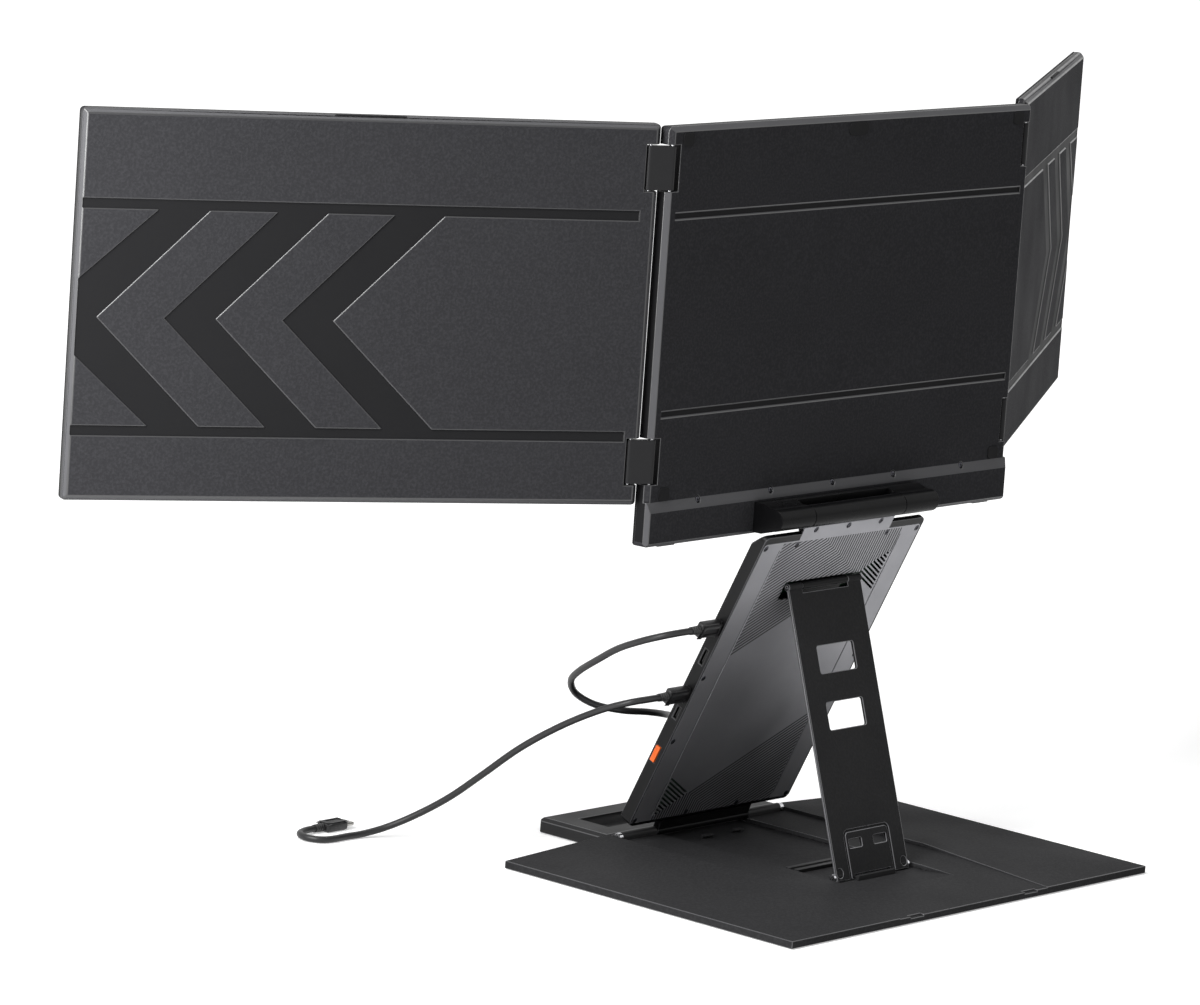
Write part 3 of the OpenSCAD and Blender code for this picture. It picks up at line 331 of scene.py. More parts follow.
@dataclass(frozen=True)
class PressedSheet(Finish):
    """Grey anodised aluminium sheet with two fields of fine pressed ribs.

    The ribs run beside a sloping smooth band and turn along a fold line. The lower field
    is the upper one turned half round about the sheet's middle. Their pitch is a little
    coarser than real, so that they show.
    """

    foot_m: tuple[float, float, float] = (0.0, -0.1012, 0.0175)
    lean_deg: float = -24.0
    middle_mm: float = 101.7
    band_mm: float = 61.52
    slope: float = 0.566
    across: float = 0.8703
    fold_slope: float = 0.634
    fold_mm: float = 102.5
    turn_scale: float = 1.045
    turn_mm: float = 35.7
    pitch_mm: float = 2.6
    edge_mm: float = 60.4
    end_mm: float = 114.3
    rib_mm: float = 0.12
    rim_mm: float = 0.4
    crest: tuple[float, float] = (0.8, 0.6)
    # Colour of the painted shade multiplied into the grooves between the ribs
    groove: str = "#404040"

    def pattern(self, surface: Surface) -> None:
        """Presses the ribs, and paints shade into the grooves between them.

        Args:
            surface: The material that is being made.
        """
        step = partial(combine, surface.tree)
        frame_of_sheet = {
            "vector_type": "TEXTURE",
            "Location": self.foot_m,
            "Rotation": (math.radians(self.lean_deg), 0.0, 0.0),
            "Scale": (MM, MM, MM),
        }
        own = add_node(
            surface.tree, "ShaderNodeMapping", frame_of_sheet, {"Vector": surface.place}
        )
        axes = add_node(
            surface.tree, "ShaderNodeSeparateXYZ", None, {"Vector": own.outputs["Vector"]}
        )
        across = axes.outputs["X"]
        rise = step("SUBTRACT", axes.outputs["Z"], self.middle_mm)
        u = step("MULTIPLY", across, step("SIGN", rise))
        w = step("ABSOLUTE", rise)
        leaning = step("MULTIPLY", u, self.slope)
        above = step("SUBTRACT", step("ADD", w, leaning), self.band_mm)
        beside = step("MULTIPLY", above, self.across)
        fold = step("SUBTRACT", w, step("MULTIPLY", u, self.fold_slope))
        past = step("GREATER_THAN", fold, self.fold_mm)
        upright = step("ADD", step("MULTIPLY", u, self.turn_scale), self.turn_mm)
        change = step("MULTIPLY", step("SUBTRACT", upright, beside), past)
        run = step("ADD", beside, change)
        wave = step("SINE", step("MULTIPLY", run, math.tau / self.pitch_mm))
        crest = step("MULTIPLY_ADD", wave, *self.crest, clamp=True)
        inside = step("GREATER_THAN", above, self.rim_mm)
        within = step("LESS_THAN", step("ABSOLUTE", across), self.edge_mm)
        below = step("LESS_THAN", w, self.end_mm)
        ribbed = step("MULTIPLY", step("MULTIPLY", inside, within), below)
        height = step("MULTIPLY", crest, ribbed)
        ribs = surface.relief(height, self.rib_mm)
        surface.relief(surface.noise(self.grain_mm), self.grain_depth_mm, ribs)
        # Painted shade: the groove colour is multiplied in between the ribs
        surface.tint(step("SUBTRACT", ribbed, height), srgb(self.groove), "MULTIPLY")


@dataclass(frozen=True)
class ScreenFilm(Finish):
    """Optical film over a dark panel: nearly black, with a soft, slightly blue gloss."""

    def pattern(self, surface: Surface) -> None:
        """Adds the film's hard coat and the faint grain of its matt layer."""
        surface.shader.inputs["Coat Weight"].default_value = 0.15
        surface.shader.inputs["Coat Roughness"].default_value = 0.16
        super().pattern(surface)


@dataclass(frozen=True)
class SolderMask(Finish):
    """Green solder mask over copper: tracks show as paler, slightly raised lines."""

    track_mm: float = 2.2
    wander: float = 6.0
    bare: float = 0.62
    copper: str = "#1a3d28"

    def pattern(self, surface: Surface) -> None:
        """Draws the tracks as wandering bands, coarser than real so that they show.

        Args:
            surface: The material that is being made.
        """
        bands = add_node(
            surface.tree,
            "ShaderNodeTexWave",
            {"Scale": 300.0 / self.track_mm, "Distortion": self.wander, "Detail": 1.0},
            {"Vector": surface.place},
        )
        track = combine(surface.tree, "GREATER_THAN", bands.outputs["Fac"], self.bare)
        surface.tint(track, srgb(self.copper))
        surface.relief(track, self.grain_depth_mm)


@dataclass(frozen=True)
class HookAndLoop(Finish):
    """Woven hook-and-loop tape: a dull, fuzzy weave of fine loops."""

    def pattern(self, surface: Surface) -> None:
        """Sets the loops as small round cells with a light sheen.

        Args:
            surface: The material that is being made.
        """
        surface.shader.inputs["Sheen Weight"].default_value = 0.3
        size = {"Scale": 1000.0 / self.grain_mm}
        cells = add_node(surface.tree, "ShaderNodeTexVoronoi", size, {"Vector": surface.place})
        surface.relief(cells.outputs["Distance"], self.grain_depth_mm)


# Injection-moulded ABS, spark-eroded mould: a leathery grain, drawn coarser than real so
# that it shows, with a painted highlight on its tops that greys the black
SHELL = Finish(
    "moulded_abs_grained", "#2d2d2f", 0.62, specular=0.01, grain_mm=1.6, grain_depth_mm=0.18,
    drift_mm=60.0, tops_highlight=0.22,
)
# The same ABS from the mould's polished grooves: darker and smoother than the grain
SMOOTH_SHELL = Finish(
    "moulded_abs_smooth", "#1f1f20", 0.5, specular=0.02, grain_depth_mm=0.01, drift_mm=60.0
)
# Edges of the shells, rubbed by handling: shinier than the faces beside them
SHELL_EDGE = Finish(
    "moulded_abs_edge", "#1c1c1e", 0.35, specular=0.8, grain_depth_mm=0.004, drift_mm=12.0
)
# Chamfers round the backs: painted paler as a highlight, where they catch the light
SHELL_CHAMFER_HIGHLIGHT = Finish(
    "moulded_abs_chamfer_painted_highlight", "#4c4c4e", 0.5, specular=0.12, grain_mm=1.6, grain_depth_mm=0.04,
    drift_mm=40.0,
)
# Upright walls of the shells: no grain where the mould draws off, painted deep black as shade
SHELL_WALL_SHADE = Finish(
    "moulded_abs_wall_painted_shade", "#141415", 0.42, specular=0.06, grain_depth_mm=0.01, drift_mm=40.0
)
# Powder coat on steel: matt, a slight orange-peel relief with a painted highlight on its tops
POWDER = Finish(
    "powder_coated_base", "#2a2a2b", 0.62, specular=0.02, grain_mm=1.8, grain_depth_mm=0.12,
    drift_mm=70.0, tops_highlight=0.2,
)
# Edge of the same coat, thin and stretched over the corner: shinier, and painted paler as a
# highlight
POWDER_EDGE_HIGHLIGHT = Finish(
    "powder_coated_edge_painted_highlight", "#3a3a3c", 0.32, specular=0.6, grain_depth_mm=0.005, drift_mm=14.0
)
# Glass-filled nylon: dull black with a coarse dry grain
FOOT = Finish(
    "glass_filled_nylon", "#222223", 0.55, specular=0.18, grain_mm=1.6, grain_depth_mm=0.06
)
# Its corners, rubbed by handling: shinier, and painted paler as a line of highlight
FOOT_EDGE_HIGHLIGHT = Finish("glass_filled_nylon_edge_painted_highlight", "#48484a", 0.36, specular=0.6, drift_mm=12.0)
# Satin polycarbonate of the arm's frame: deep black with an even, soft gloss
ARM_PLASTIC = Finish("satin_polycarbonate", "#131314", 0.36, specular=0.15, grain_depth_mm=0.012)
# Its narrow edge strip beside the sheet cover, painted paler as a highlight
ARM_EDGE_HIGHLIGHT = Finish("satin_polycarbonate_edge_painted_highlight", "#3c3c3f", 0.34, specular=0.4, drift_mm=16.0)
# Anodised floor of the sheet's narrow grooves: dull, and painted dark as the shade where light
# hardly gets in
GROOVE_SHADE = Finish("anodised_groove_painted_shade", "#26262a", 0.6, specular=0.05, grain_depth_mm=0.004)
# Anodised aluminium, pressed: cool grey that mirrors what is around it, blurred
ARM_SHEET = PressedSheet(
    "anodised_pressed_sheet", "#9c9ca0", 0.48, metallic=0.84, grain_mm=0.9,
    grain_depth_mm=0.008,
)
# Acetal of the small hinge blocks: smooth and slightly waxy
HINGE = Finish("acetal_hinge", "#0b0b0c", 0.3, specular=0.06, grain_depth_mm=0.006)
# The blocks between the displays, from the same acetal, painted paler as a highlight
BLOCK_HIGHLIGHT = Finish("acetal_block_painted_highlight", "#202021", 0.4, specular=0.12, grain_depth_mm=0.01)
# Cathodic dip coat on the kickstand's sheet steel: thin, with a fine satin grain and a painted
# highlight on its tops
DIP_COAT = Finish(
    "dip_coated_steel", "#1d1d1e", 0.5, specular=0.06, grain_mm=1.8, grain_depth_mm=0.12,
    drift_mm=40.0, tops_highlight=0.2,
)
# Cut edges of that sheet, where the coat is thin and the steel greys through, painted paler still
# as a highlight
DIP_EDGE_HIGHLIGHT = Finish("dip_coated_edge_painted_highlight", "#5a5a5d", 0.32, specular=0.7, drift_mm=10.0)
# Turned and polished steel of pins and caps: the brightest spots, with fine rings
BRIGHT = TurnedSteel("turned_bright_steel", "#c9c9cc", 0.24, metallic=1.0, grain_depth_mm=0.01)
# Zinc-nickel plated screws, painted dark grey as the shade in their bores: small dark grey glints
SCREW = Finish("plated_screw_painted_shade", "#45454a", 0.32, metallic=1.0, grain_depth_mm=0.008)
# Mill-finish steel of the hidden ballast: grey and cloudy from the rolling
BALLAST = Finish("mill_finish_steel", "#83858a", 0.5, metallic=1.0, grain_mm=2.0)
# Moulded rubber: matt, hardly any reflection
RUBBER = Finish("moulded_rubber", "#181819", 0.75, specular=0.1, grain_depth_mm=0.03)
# Soft elastomer sheath of the cords: satin, with a fine dry grain
SHEATH = Finish("elastomer_sheath", "#1b1b1c", 0.42, specular=0.4, grain_depth_mm=0.015)
# Over-moulded elastomer of the plugs: a little glossier than the cord
PLUG = Finish("overmoulded_plug", "#1a1a1b", 0.42, specular=0.45, grain_depth_mm=0.015)
# Nickel plate of the plug shells: bright, with hardly any grain
PLATED = Finish("nickel_plate", "#b4b3af", 0.28, metallic=1.0, grain_depth_mm=0.004)
# The same plate in the arm's sockets, dulled, and painted dark as their shadow
PORT_SHADE = Finish("dulled_nickel_plate_painted_shade", "#4a4a49", 0.45, metallic=1.0, grain_depth_mm=0.004)
# ABS coloured in the mass, for the key: the one bright colour, satin
KEY = Finish("orange_abs_key", "#f06a22", 0.4, specular=0.4, grain_depth_mm=0.008, shade=0.95)
# Solder mask of the circuit boards: dark green with paler tracks
BOARD = SolderMask("green_solder_mask", "#0d2a19", 0.4, grain_depth_mm=0.03)
# Zinc-coated sheet behind the panels: bright, cloudy
PANEL = Finish("galvanised_sheet", "#a4a7aa", 0.45, metallic=1.0, grain_mm=6.0, drift=0.12)
# Optical film on the front of each panel: nearly black, with a soft reflection
FILM = ScreenFilm("optical_film", "#060708", 0.3, specular=0.25, grain_depth_mm=0.003)
# Woven tape that ties the spare cord: fuzzy, with hardly any gloss
TIE = HookAndLoop("hook_and_loop_tape", "#1a1a1b", 0.85, grain_mm=0.9, grain_depth_mm=0.12)


# --- Shaping ------------------------------------------------------------------------


def only(piece: Thing) -> None:
    """Deselects everything, then selects one piece and makes it active."""
    bpy.ops.object.select_all(action="DESELECT")
    piece.select_set(True)
    bpy.context.view_layer.objects.active = piece


def added(name: str, data: Any) -> Thing:
    """Makes an object of a mesh, a curve, a lamp or a lens, and adds it to the scene."""
    thing = bpy.data.objects.new(name, data)
    bpy.context.scene.collection.objects.link(thing)
    return thing


def turn(degrees: float, axis: str) -> Matrix:
    """Returns a turn about an axis through the origin."""
    return Matrix.Rotation(math.radians(degrees), 4, axis)


def shift(x: float, y: float, z: float) -> Matrix:
    """Returns a shift by millimetres."""
    return Matrix.Translation(Vector((x, y, z)) * MM)


def block(name: str, low: Point, high: Point) -> Thing:
    """Adds a cuboid between two corners.

    Args:
        name: The piece's name.
        low: Its lowest corner, in millimetres.
        high: Its highest corner, in millimetres.

    Returns:
        The new piece, its place in its mesh.
    """
    bpy.ops.object.select_all(action="DESELECT")
    middle = [(a + b) / 2 * MM for a, b in zip(low, high)]
    bpy.ops.mesh.primitive_cube_add(size=1.0, location=middle)
    piece = bpy.context.object
    piece.name = name
    piece.scale = [(b - a) * MM for a, b in zip(low, high)]
    only(piece)
    bpy.ops.object.transform_apply(location=True, rotation=True, scale=True)
    return piece


def pick_faces(piece: Thing, wanted: Callable[[Any], bool]) -> None:
    """Enters edit mode with only the wanted faces selected.

    Args:
        piece: The piece to edit.
        wanted: Says of a polygon whether it is wanted.
    """
    only(piece)
    bpy.context.tool_settings.mesh_select_mode = (False, False, True)
    mesh = piece.data
    for polygon in mesh.polygons:
        polygon.select = wanted(polygon)
    bpy.ops.object.mode_set(mode="EDIT")


def pick_edges(piece: Thing, wanted: Callable[[Vector, Vector], bool]) -> None:
    """Enters edit mode with only the wanted edges selected.

    Args:
        piece: The piece to edit.
        wanted: Says of an edge's two ends, in metres, whether it is wanted.
    """
    only(piece)
    bpy.context.tool_settings.mesh_select_mode = (False, True, False)
    mesh = piece.data
    for polygon in mesh.polygons:
        polygon.select = False
    for vertex in mesh.vertices:
        vertex.select = False
    for edge in mesh.edges:
        a, b = (mesh.vertices[i].co for i in edge.vertices)
        edge.select = wanted(a, b)
    bpy.ops.object.mode_set(mode="EDIT")


def finish_edit() -> None:
    """Leaves edit mode."""
    bpy.ops.object.mode_set(mode="OBJECT")


def round_edges(
    piece: Thing,
    width_mm: float,
    segments: int = 2,
    wanted: Callable[[Vector, Vector], bool] = lambda a, b: True,
) -> None:
    """Bevels the wanted edges.

    Args:
        piece: The piece to edit.
        width_mm: Width of the bevel.
        segments: Its steps.
        wanted: Says of an edge's two ends whether it is wanted.
    """
    pick_edges(piece, wanted)
    bpy.ops.mesh.bevel(offset=width_mm * MM, segments=segments, affect="EDGES")
    finish_edit()


def spun(name: str, profile: Profile, steps: int = 32) -> Thing:
    """Spins an outline about the Z axis.

    Args:
        name: The piece's name.
        profile: Radius and height of each point, in millimetres.
        steps: Steps of the full turn.

    Returns:
        The turned piece, closed and with its faces outwards.
    """
    mesh = bpy.data.meshes.new(name)
    points = [(r * MM, 0.0, z * MM) for r, z in profile]
    mesh.from_pydata(points, [(i, i + 1) for i in range(len(points) - 1)], [])
    piece = added(name, mesh)
    only(piece)
    bpy.ops.object.mode_set(mode="EDIT")
    bpy.ops.mesh.select_all(action="SELECT")
    bpy.ops.mesh.spin(steps=steps, angle=math.tau, center=(0, 0, 0), axis=(0, 0, 1))
    bpy.ops.mesh.select_all(action="SELECT")
    bpy.ops.mesh.remove_doubles(threshold=1e-6)
    bpy.ops.mesh.normals_make_consistent(inside=False)
    finish_edit()
    return piece


def smoothed(piece: Thing, angle_deg: float = 40.0) -> Thing:
    """Shades a piece smooth except over edges sharper than the angle, and returns it."""
    only(piece)
    bpy.ops.object.shade_smooth_by_angle(angle=math.radians(angle_deg))
    return piece


def moved(piece: Thing, place: Matrix) -> Thing:
    """Moves a piece's mesh by a matrix, and returns the piece."""
    piece.data.transform(place)
    return piece


def copy_at(piece: Thing, name: str, place: Matrix) -> Thing:
    """Copies a piece with its own mesh.

    Args:
        piece: The piece to copy.
        name: The copy's name.
        place: Where the copy goes, from the original's place.

    Returns:
        The copy.
    """
    return moved(added(name, piece.data.copy()), place)


def joined(name: str, pieces: Sequence[Thing]) -> Thing:
    """Joins pieces into the first one.

    Args:
        name: The joined piece's name.
        pieces: The pieces, each with its material.

    Returns:
        The joined piece.
    """
    bpy.ops.object.select_all(action="DESELECT")
    for piece in pieces:
        piece.select_set(True)
    bpy.context.view_layer.objects.active = pieces[0]
    bpy.ops.object.join()
    pieces[0].name = name
    return pieces[0]


def painted(piece: Thing, finish: Finish) -> Thing:
    """Gives a whole piece one finish, and returns the piece."""
    piece.data.materials.clear()
    piece.data.materials.append(finish.material())
    return piece


def carve(piece: Thing, cutter: Thing) -> None:
    """Cuts one piece out of another, and removes the cutter."""
    only(piece)
    cut = piece.modifiers.new("cut", "BOOLEAN")
    cut.operation = "DIFFERENCE"
    cut.object = cutter
    cut.solver = "EXACT"
    bpy.ops.object.modifier_apply(modifier=cut.name)
    bpy.data.objects.remove(cutter)


def seat(piece: Thing, body: str, nodes: Sequence[str] = ()) -> Thing:
    """Fixes a finished piece to its body.

    Args:
        piece: The finished piece.
        body: The body that it rides on.
        nodes: The construction nodes that it stands for.

    Returns:
        The piece.
    """
    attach(piece, body)
    if nodes:
        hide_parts(*nodes)
    log.info("piece %s rides on %s", piece.name, body)
    return piece


def added_finish(piece: Thing, finish: Finish) -> int:
    """Adds a finish to a piece, and returns its place among the piece's finishes."""
    piece.data.materials.append(finish.material())
    return len(piece.data.materials) - 1


def back_face(piece: Thing) -> bpy.types.MeshPolygon:
    """Returns the largest of the faces that look toward +Y."""
    return max((f for f in piece.data.polygons if f.normal.y > 0.5), key=lambda f: f.area)


def paint_depth(piece: Thing, finish: Finish, low_mm: float, high_mm: float) -> None:
    """Gives the floors sunk below the largest face of a back a finish of their own.

    Args:
        piece: The piece.
        finish: The floors' finish.
        low_mm: Least depth of such a floor.
        high_mm: Greatest depth of such a floor.
    """
    slot = added_finish(piece, finish)
    largest = back_face(piece)
    out = largest.normal.copy()
    top = largest.center.dot(out)
    for face in piece.data.polygons:
        depth = (top - face.center.dot(out)) / MM
        if face.normal.dot(out) > 0.99 and low_mm < depth < high_mm:
            face.material_index = slot


def paint_slopes(piece: Thing, slope: Finish, wall: Finish) -> None:
    """Gives a back's chamfers one finish and its upright walls another: here a painted highlight
    and a painted shade.

    Args:
        piece: The piece.
        slope: The chamfers' finish.
        wall: The walls' finish.
    """
    sloping = added_finish(piece, slope)
    upright = added_finish(piece, wall)
    out = back_face(piece).normal.copy()
    spots = [vertex.co for vertex in piece.data.vertices]
    for face in piece.data.polygons:
        lean = face.normal.dot(out)
        long_side = max((spots[a] - spots[b]).length for a, b in face.edge_keys)
        if face.material_index != 0 or long_side < WIDE_MM * MM:
            continue
        if abs(lean) < WALL_LEAN:
            face.material_index = upright
        elif WALL_LEAN < lean < FLAT_LEAN:
            face.material_index = sloping


def carry(finish: Finish, *nodes: str) -> None:
    """Gives construction nodes that stay as they are their finish.

    Args:
        finish: The finish.
        nodes: The nodes' names.
    """
    for name in nodes:
        painted(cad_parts[name], finish)
        log.info("node %s carried over with %s", name, finish.name)


def mark_outer_edges(piece: Thing) -> None:
    """Weights the edges that stand out, for the bevel; inner corners stay sharp.

    Args:
        piece: The piece.
    """
    mesh = piece.data
    beside: dict[Any, list[bpy.types.MeshPolygon]] = {}
    for face in mesh.polygons:
        for pair in face.edge_keys:
            beside.setdefault(pair, []).append(face)
    weights = mesh.attributes.new("bevel_weight_edge", "FLOAT", "EDGE")
    for edge in mesh.edges:
        pair = beside.get(edge.key, [])
        if len(pair) != 2:
            continue
        first, second = pair
        between = first.normal.angle(second.normal, 0.0)
        ring = list(first.vertices)
        here = ring.index(edge.vertices[0])
        forward = ring[(here + 1) % len(ring)] == edge.vertices[1]
        along = mesh.vertices[edge.vertices[1]].co - mesh.vertices[edge.vertices[0]].co
        inward = first.normal.cross(along if forward else -along)
        outer = second.normal.dot(inward) < 0
        weights.data[edge.index].value = float(outer and between > math.radians(OUTER_DEG))


def eased(
    node: str,
    body: str,
    finish: Finish,
    round_mm: float = 0.3,
    rim: Optional[Finish] = None,
    touch: Optional[Callable[[Thing], None]] = None,
) -> Thing:
    """Stands in for a construction node with the same shape and eased edges.

    A moulded or pressed edge is never sharp: it has a small radius that catches light as
    a thin bright line.

    Args:
        node: The node that the piece replaces.
        body: The body that it rides on.
        finish: Its finish.
        round_mm: Width of the eased edge.
        rim: Finish of the eased edges, where it differs from the faces, often paler as a painted
            highlight.
        touch: What else is done to the finished piece.

    Returns:
        The piece.
    """
    piece = added(node + "_piece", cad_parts[node].data.copy())
    only(piece)
    bpy.ops.mesh.customdata_custom_splitnormals_clear()
    bpy.ops.object.mode_set(mode="EDIT")
    bpy.ops.mesh.select_all(action="SELECT")
    bpy.ops.mesh.remove_doubles(threshold=MERGE_M)
    bpy.ops.mesh.dissolve_limited(angle_limit=math.radians(FLAT_DEG))
    finish_edit()
    painted(piece, finish)
    mark_outer_edges(piece)
    ease = piece.modifiers.new("ease", "BEVEL")
    ease.width = round_mm * MM
    ease.segments = 2
    ease.limit_method = "WEIGHT"
    ease.use_clamp_overlap = False
    if rim is not None:
        ease.material = added_finish(piece, rim)
    bpy.ops.object.modifier_apply(modifier=ease.name)
    bpy.ops.object.shade_smooth()
    even = piece.modifiers.new("even", "WEIGHTED_NORMAL")
    even.mode = "FACE_AREA"
    even.weight = 60
    bpy.ops.object.modifier_apply(modifier=even.name)
    if touch is not None:
        touch(piece)
    return seat(piece, body, [node])


# --- Studio -------------------------------------------------------------------------


@dataclass
class Studio:
    """The camera, the pale floor, the white surroundings and the soft lamps."""

    eye_m: Vector = field(default_factory=lambda: Vector((3.2648, 2.4645, 0.9610)))
    yaw_deg: float = -140.64
    pitch_deg: float = -10.22
    roll_deg: float = 4.88
    lens_mm: float = 198.55
    sensor_mm: float = 36.0
    floor_m: float = 14.0
    glow_from_to_m: tuple[float, float] = (0.5, 2.2)
    glow: tuple[float, float] = (0.42, 0.9)
    aim_m: Vector = field(default_factory=lambda: Vector((0.0, 0.0, 0.25)))
    sky: float = 0.3

    def camera(self) -> Thing:
        """Stands the camera and makes it the scene's own.

        Returns:
            The camera.
        """
        yaw, pitch, roll = (math.radians(a) for a in (self.yaw_deg, self.pitch_deg, self.roll_deg))
        forward = Vector(
            (math.cos(pitch) * math.cos(yaw), math.cos(pitch) * math.sin(yaw), math.sin(pitch))
        )
        right = forward.cross(UP).normalized()
        upward = right.cross(forward)
        side = math.cos(roll) * right + math.sin(roll) * upward
        top = -math.sin(roll) * right + math.cos(roll) * upward
        lens = bpy.data.cameras.new("camera")
        lens.sensor_fit = "HORIZONTAL"
        lens.sensor_width = self.sensor_mm
        lens.lens = self.lens_mm
        lens.clip_start = 0.1
        lens.clip_end = 60.0
        lens.dof.use_dof = False
        camera = added("camera", lens)
        facing = Matrix((side, top, -forward)).transposed().to_4x4()
        camera.matrix_world = Matrix.Translation(self.eye_m) @ facing
        bpy.context.scene.camera = camera
        return camera

    def seen(self, tree: Tree) -> Socket:
        """Returns 1 for what the eye, a mirror or a glass sees, and 0 for light itself."""
        path = add_node(tree, "ShaderNodeLightPath")
        straight = path.outputs["Is Camera Ray"]
        mirrored = path.outputs["Is Glossy Ray"]
        through = path.outputs["Is Transmission Ray"]
        return combine(tree, "MAXIMUM", combine(tree, "MAXIMUM", straight, mirrored), through)

    def surroundings(self) -> None:
        """Sets white surroundings to the eye and a soft even sky as light."""
        world = bpy.data.worlds.new("studio")
        bpy.context.scene.world = world
        world.use_nodes = True
        tree = world.node_tree
        tree.nodes.clear()
        seen = self.seen(tree)
        level = combine(tree, "MULTIPLY_ADD", seen, 1.0 - self.sky, self.sky)
        sky = add_node(
            tree, "ShaderNodeBackground", {"Color": srgb("#ffffff")}, {"Strength": level}
        )
        add_node(tree, "ShaderNodeOutputWorld", None, {"Surface": sky.outputs[0]})

    def floor(self) -> Thing:
        """Lays the pale floor, which keeps the shadow and pales away from the object.

        Returns:
            The floor.
        """
        bpy.ops.object.select_all(action="DESELECT")
        bpy.ops.mesh.primitive_plane_add(size=self.floor_m, location=(0, 0, 0))
        floor = bpy.context.object
        floor.name = "floor"
        made = bpy.data.materials.new("pale_floor")
        made.use_nodes = True
        tree = made.node_tree
        tree.nodes.clear()
        place = add_node(tree, "ShaderNodeTexCoord").outputs["Object"]
        cloud = noise(tree, place, 500.0)
        tone = add_node(
            tree,
            "ShaderNodeMix",
            {"data_type": "RGBA", 6: srgb("#e6e6e6"), 7: srgb("#e9e9e9")},
            {0: cloud},
        )
        paper = add_node(tree, "ShaderNodeBsdfDiffuse", None, {"Color": tone.outputs[2]})
        away = add_node(
            tree, "ShaderNodeVectorMath", {"operation": "LENGTH"}, {0: place}
        ).outputs["Value"]
        level = ranged(tree, away, self.glow_from_to_m, self.glow)
        lift = combine(tree, "MULTIPLY", self.seen(tree), level)
        glow = add_node(
            tree, "ShaderNodeEmission", {"Color": srgb("#ffffff")}, {"Strength": lift}
        )
        both = add_node(
            tree, "ShaderNodeAddShader", None, {0: paper.outputs[0], 1: glow.outputs[0]}
        )
        add_node(tree, "ShaderNodeOutputMaterial", None, {"Surface": both.outputs[0]})
        floor.data.materials.append(made)
        return floor

    def lamp(self, name: str, place: Point, size_m: float, watts: float) -> None:
        """Hangs one soft square lamp that faces the object.

        Args:
            name: The lamp's name.
            place: Where it hangs, in metres.
            size_m: Side of its square.
            watts: Its power.
        """
        light = bpy.data.lights.new(name, "AREA")
        light.shape = "SQUARE"
        light.size = size_m
        light.energy = watts
        lamp = added(name, light)
        lamp.location = place
        away = Vector(place) - self.aim_m
        lamp.rotation_euler = away.to_track_quat("Z", "Y").to_euler()
        lamp.visible_camera = False

    def light(self) -> None:
        """Hangs the key lamp, a small one below it, one overhead and one opposite."""
        self.lamp("key_side", (2.3, -0.1, 2.6), 1.1, 100.0)
        self.lamp("near_side", (0.95, -0.05, 0.5), 0.4, 7.0)
        self.lamp("overhead", (0.0, 0.3, 2.9), 2.2, 13.0)
        self.lamp("fill_side", (-2.6, 1.6, 1.5), 1.6, 3.5)


# --- Cords --------------------------------------------------------------------------


def smooth_line(points: Sequence[Point], steps: int) -> list[Vector]:
    """Draws one smooth line through points.

    Args:
        points: The points, in millimetres.
        steps: Steps between two points.

    Returns:
        The line's points, in metres.
    """
    spots = [Vector(p) * MM for p in points]
    line = []
    for i in range(len(spots) - 1):
        a = spots[max(i - 1, 0)]
        b = spots[i]
        c = spots[i + 1]
        d = spots[min(i + 2, len(spots) - 1)]
        for j in range(steps):
            t = j / steps
            bend = (c - a) * t + (2 * a - 5 * b + 4 * c - d) * t**2
            line.append(0.5 * (2 * b + bend + (3 * b - a - 3 * c + d) * t**3))
    line.append(spots[-1])
    return line


def tube(name: str, line: Sequence[Vector], diameter_mm: float) -> Thing:
    """Draws a round tube along a line, closed at both ends.

    Args:
        name: The piece's name.
        line: The line's points, in metres.
        diameter_mm: The tube's diameter.

    Returns:
        The tube as a mesh.
    """
    curve = bpy.data.curves.new(name, "CURVE")
    curve.dimensions = "3D"
    curve.bevel_depth = diameter_mm / 2 * MM
    curve.bevel_resolution = 4
    curve.use_fill_caps = True
    spline = curve.splines.new("POLY")
    spline.points.add(len(line) - 1)
    for spot, point in zip(spline.points, line):
        spot.co = (*point, 1.0)
    only(added(name, curve))
    bpy.ops.object.convert(target="MESH")
    return smoothed(bpy.context.object, 60.0)


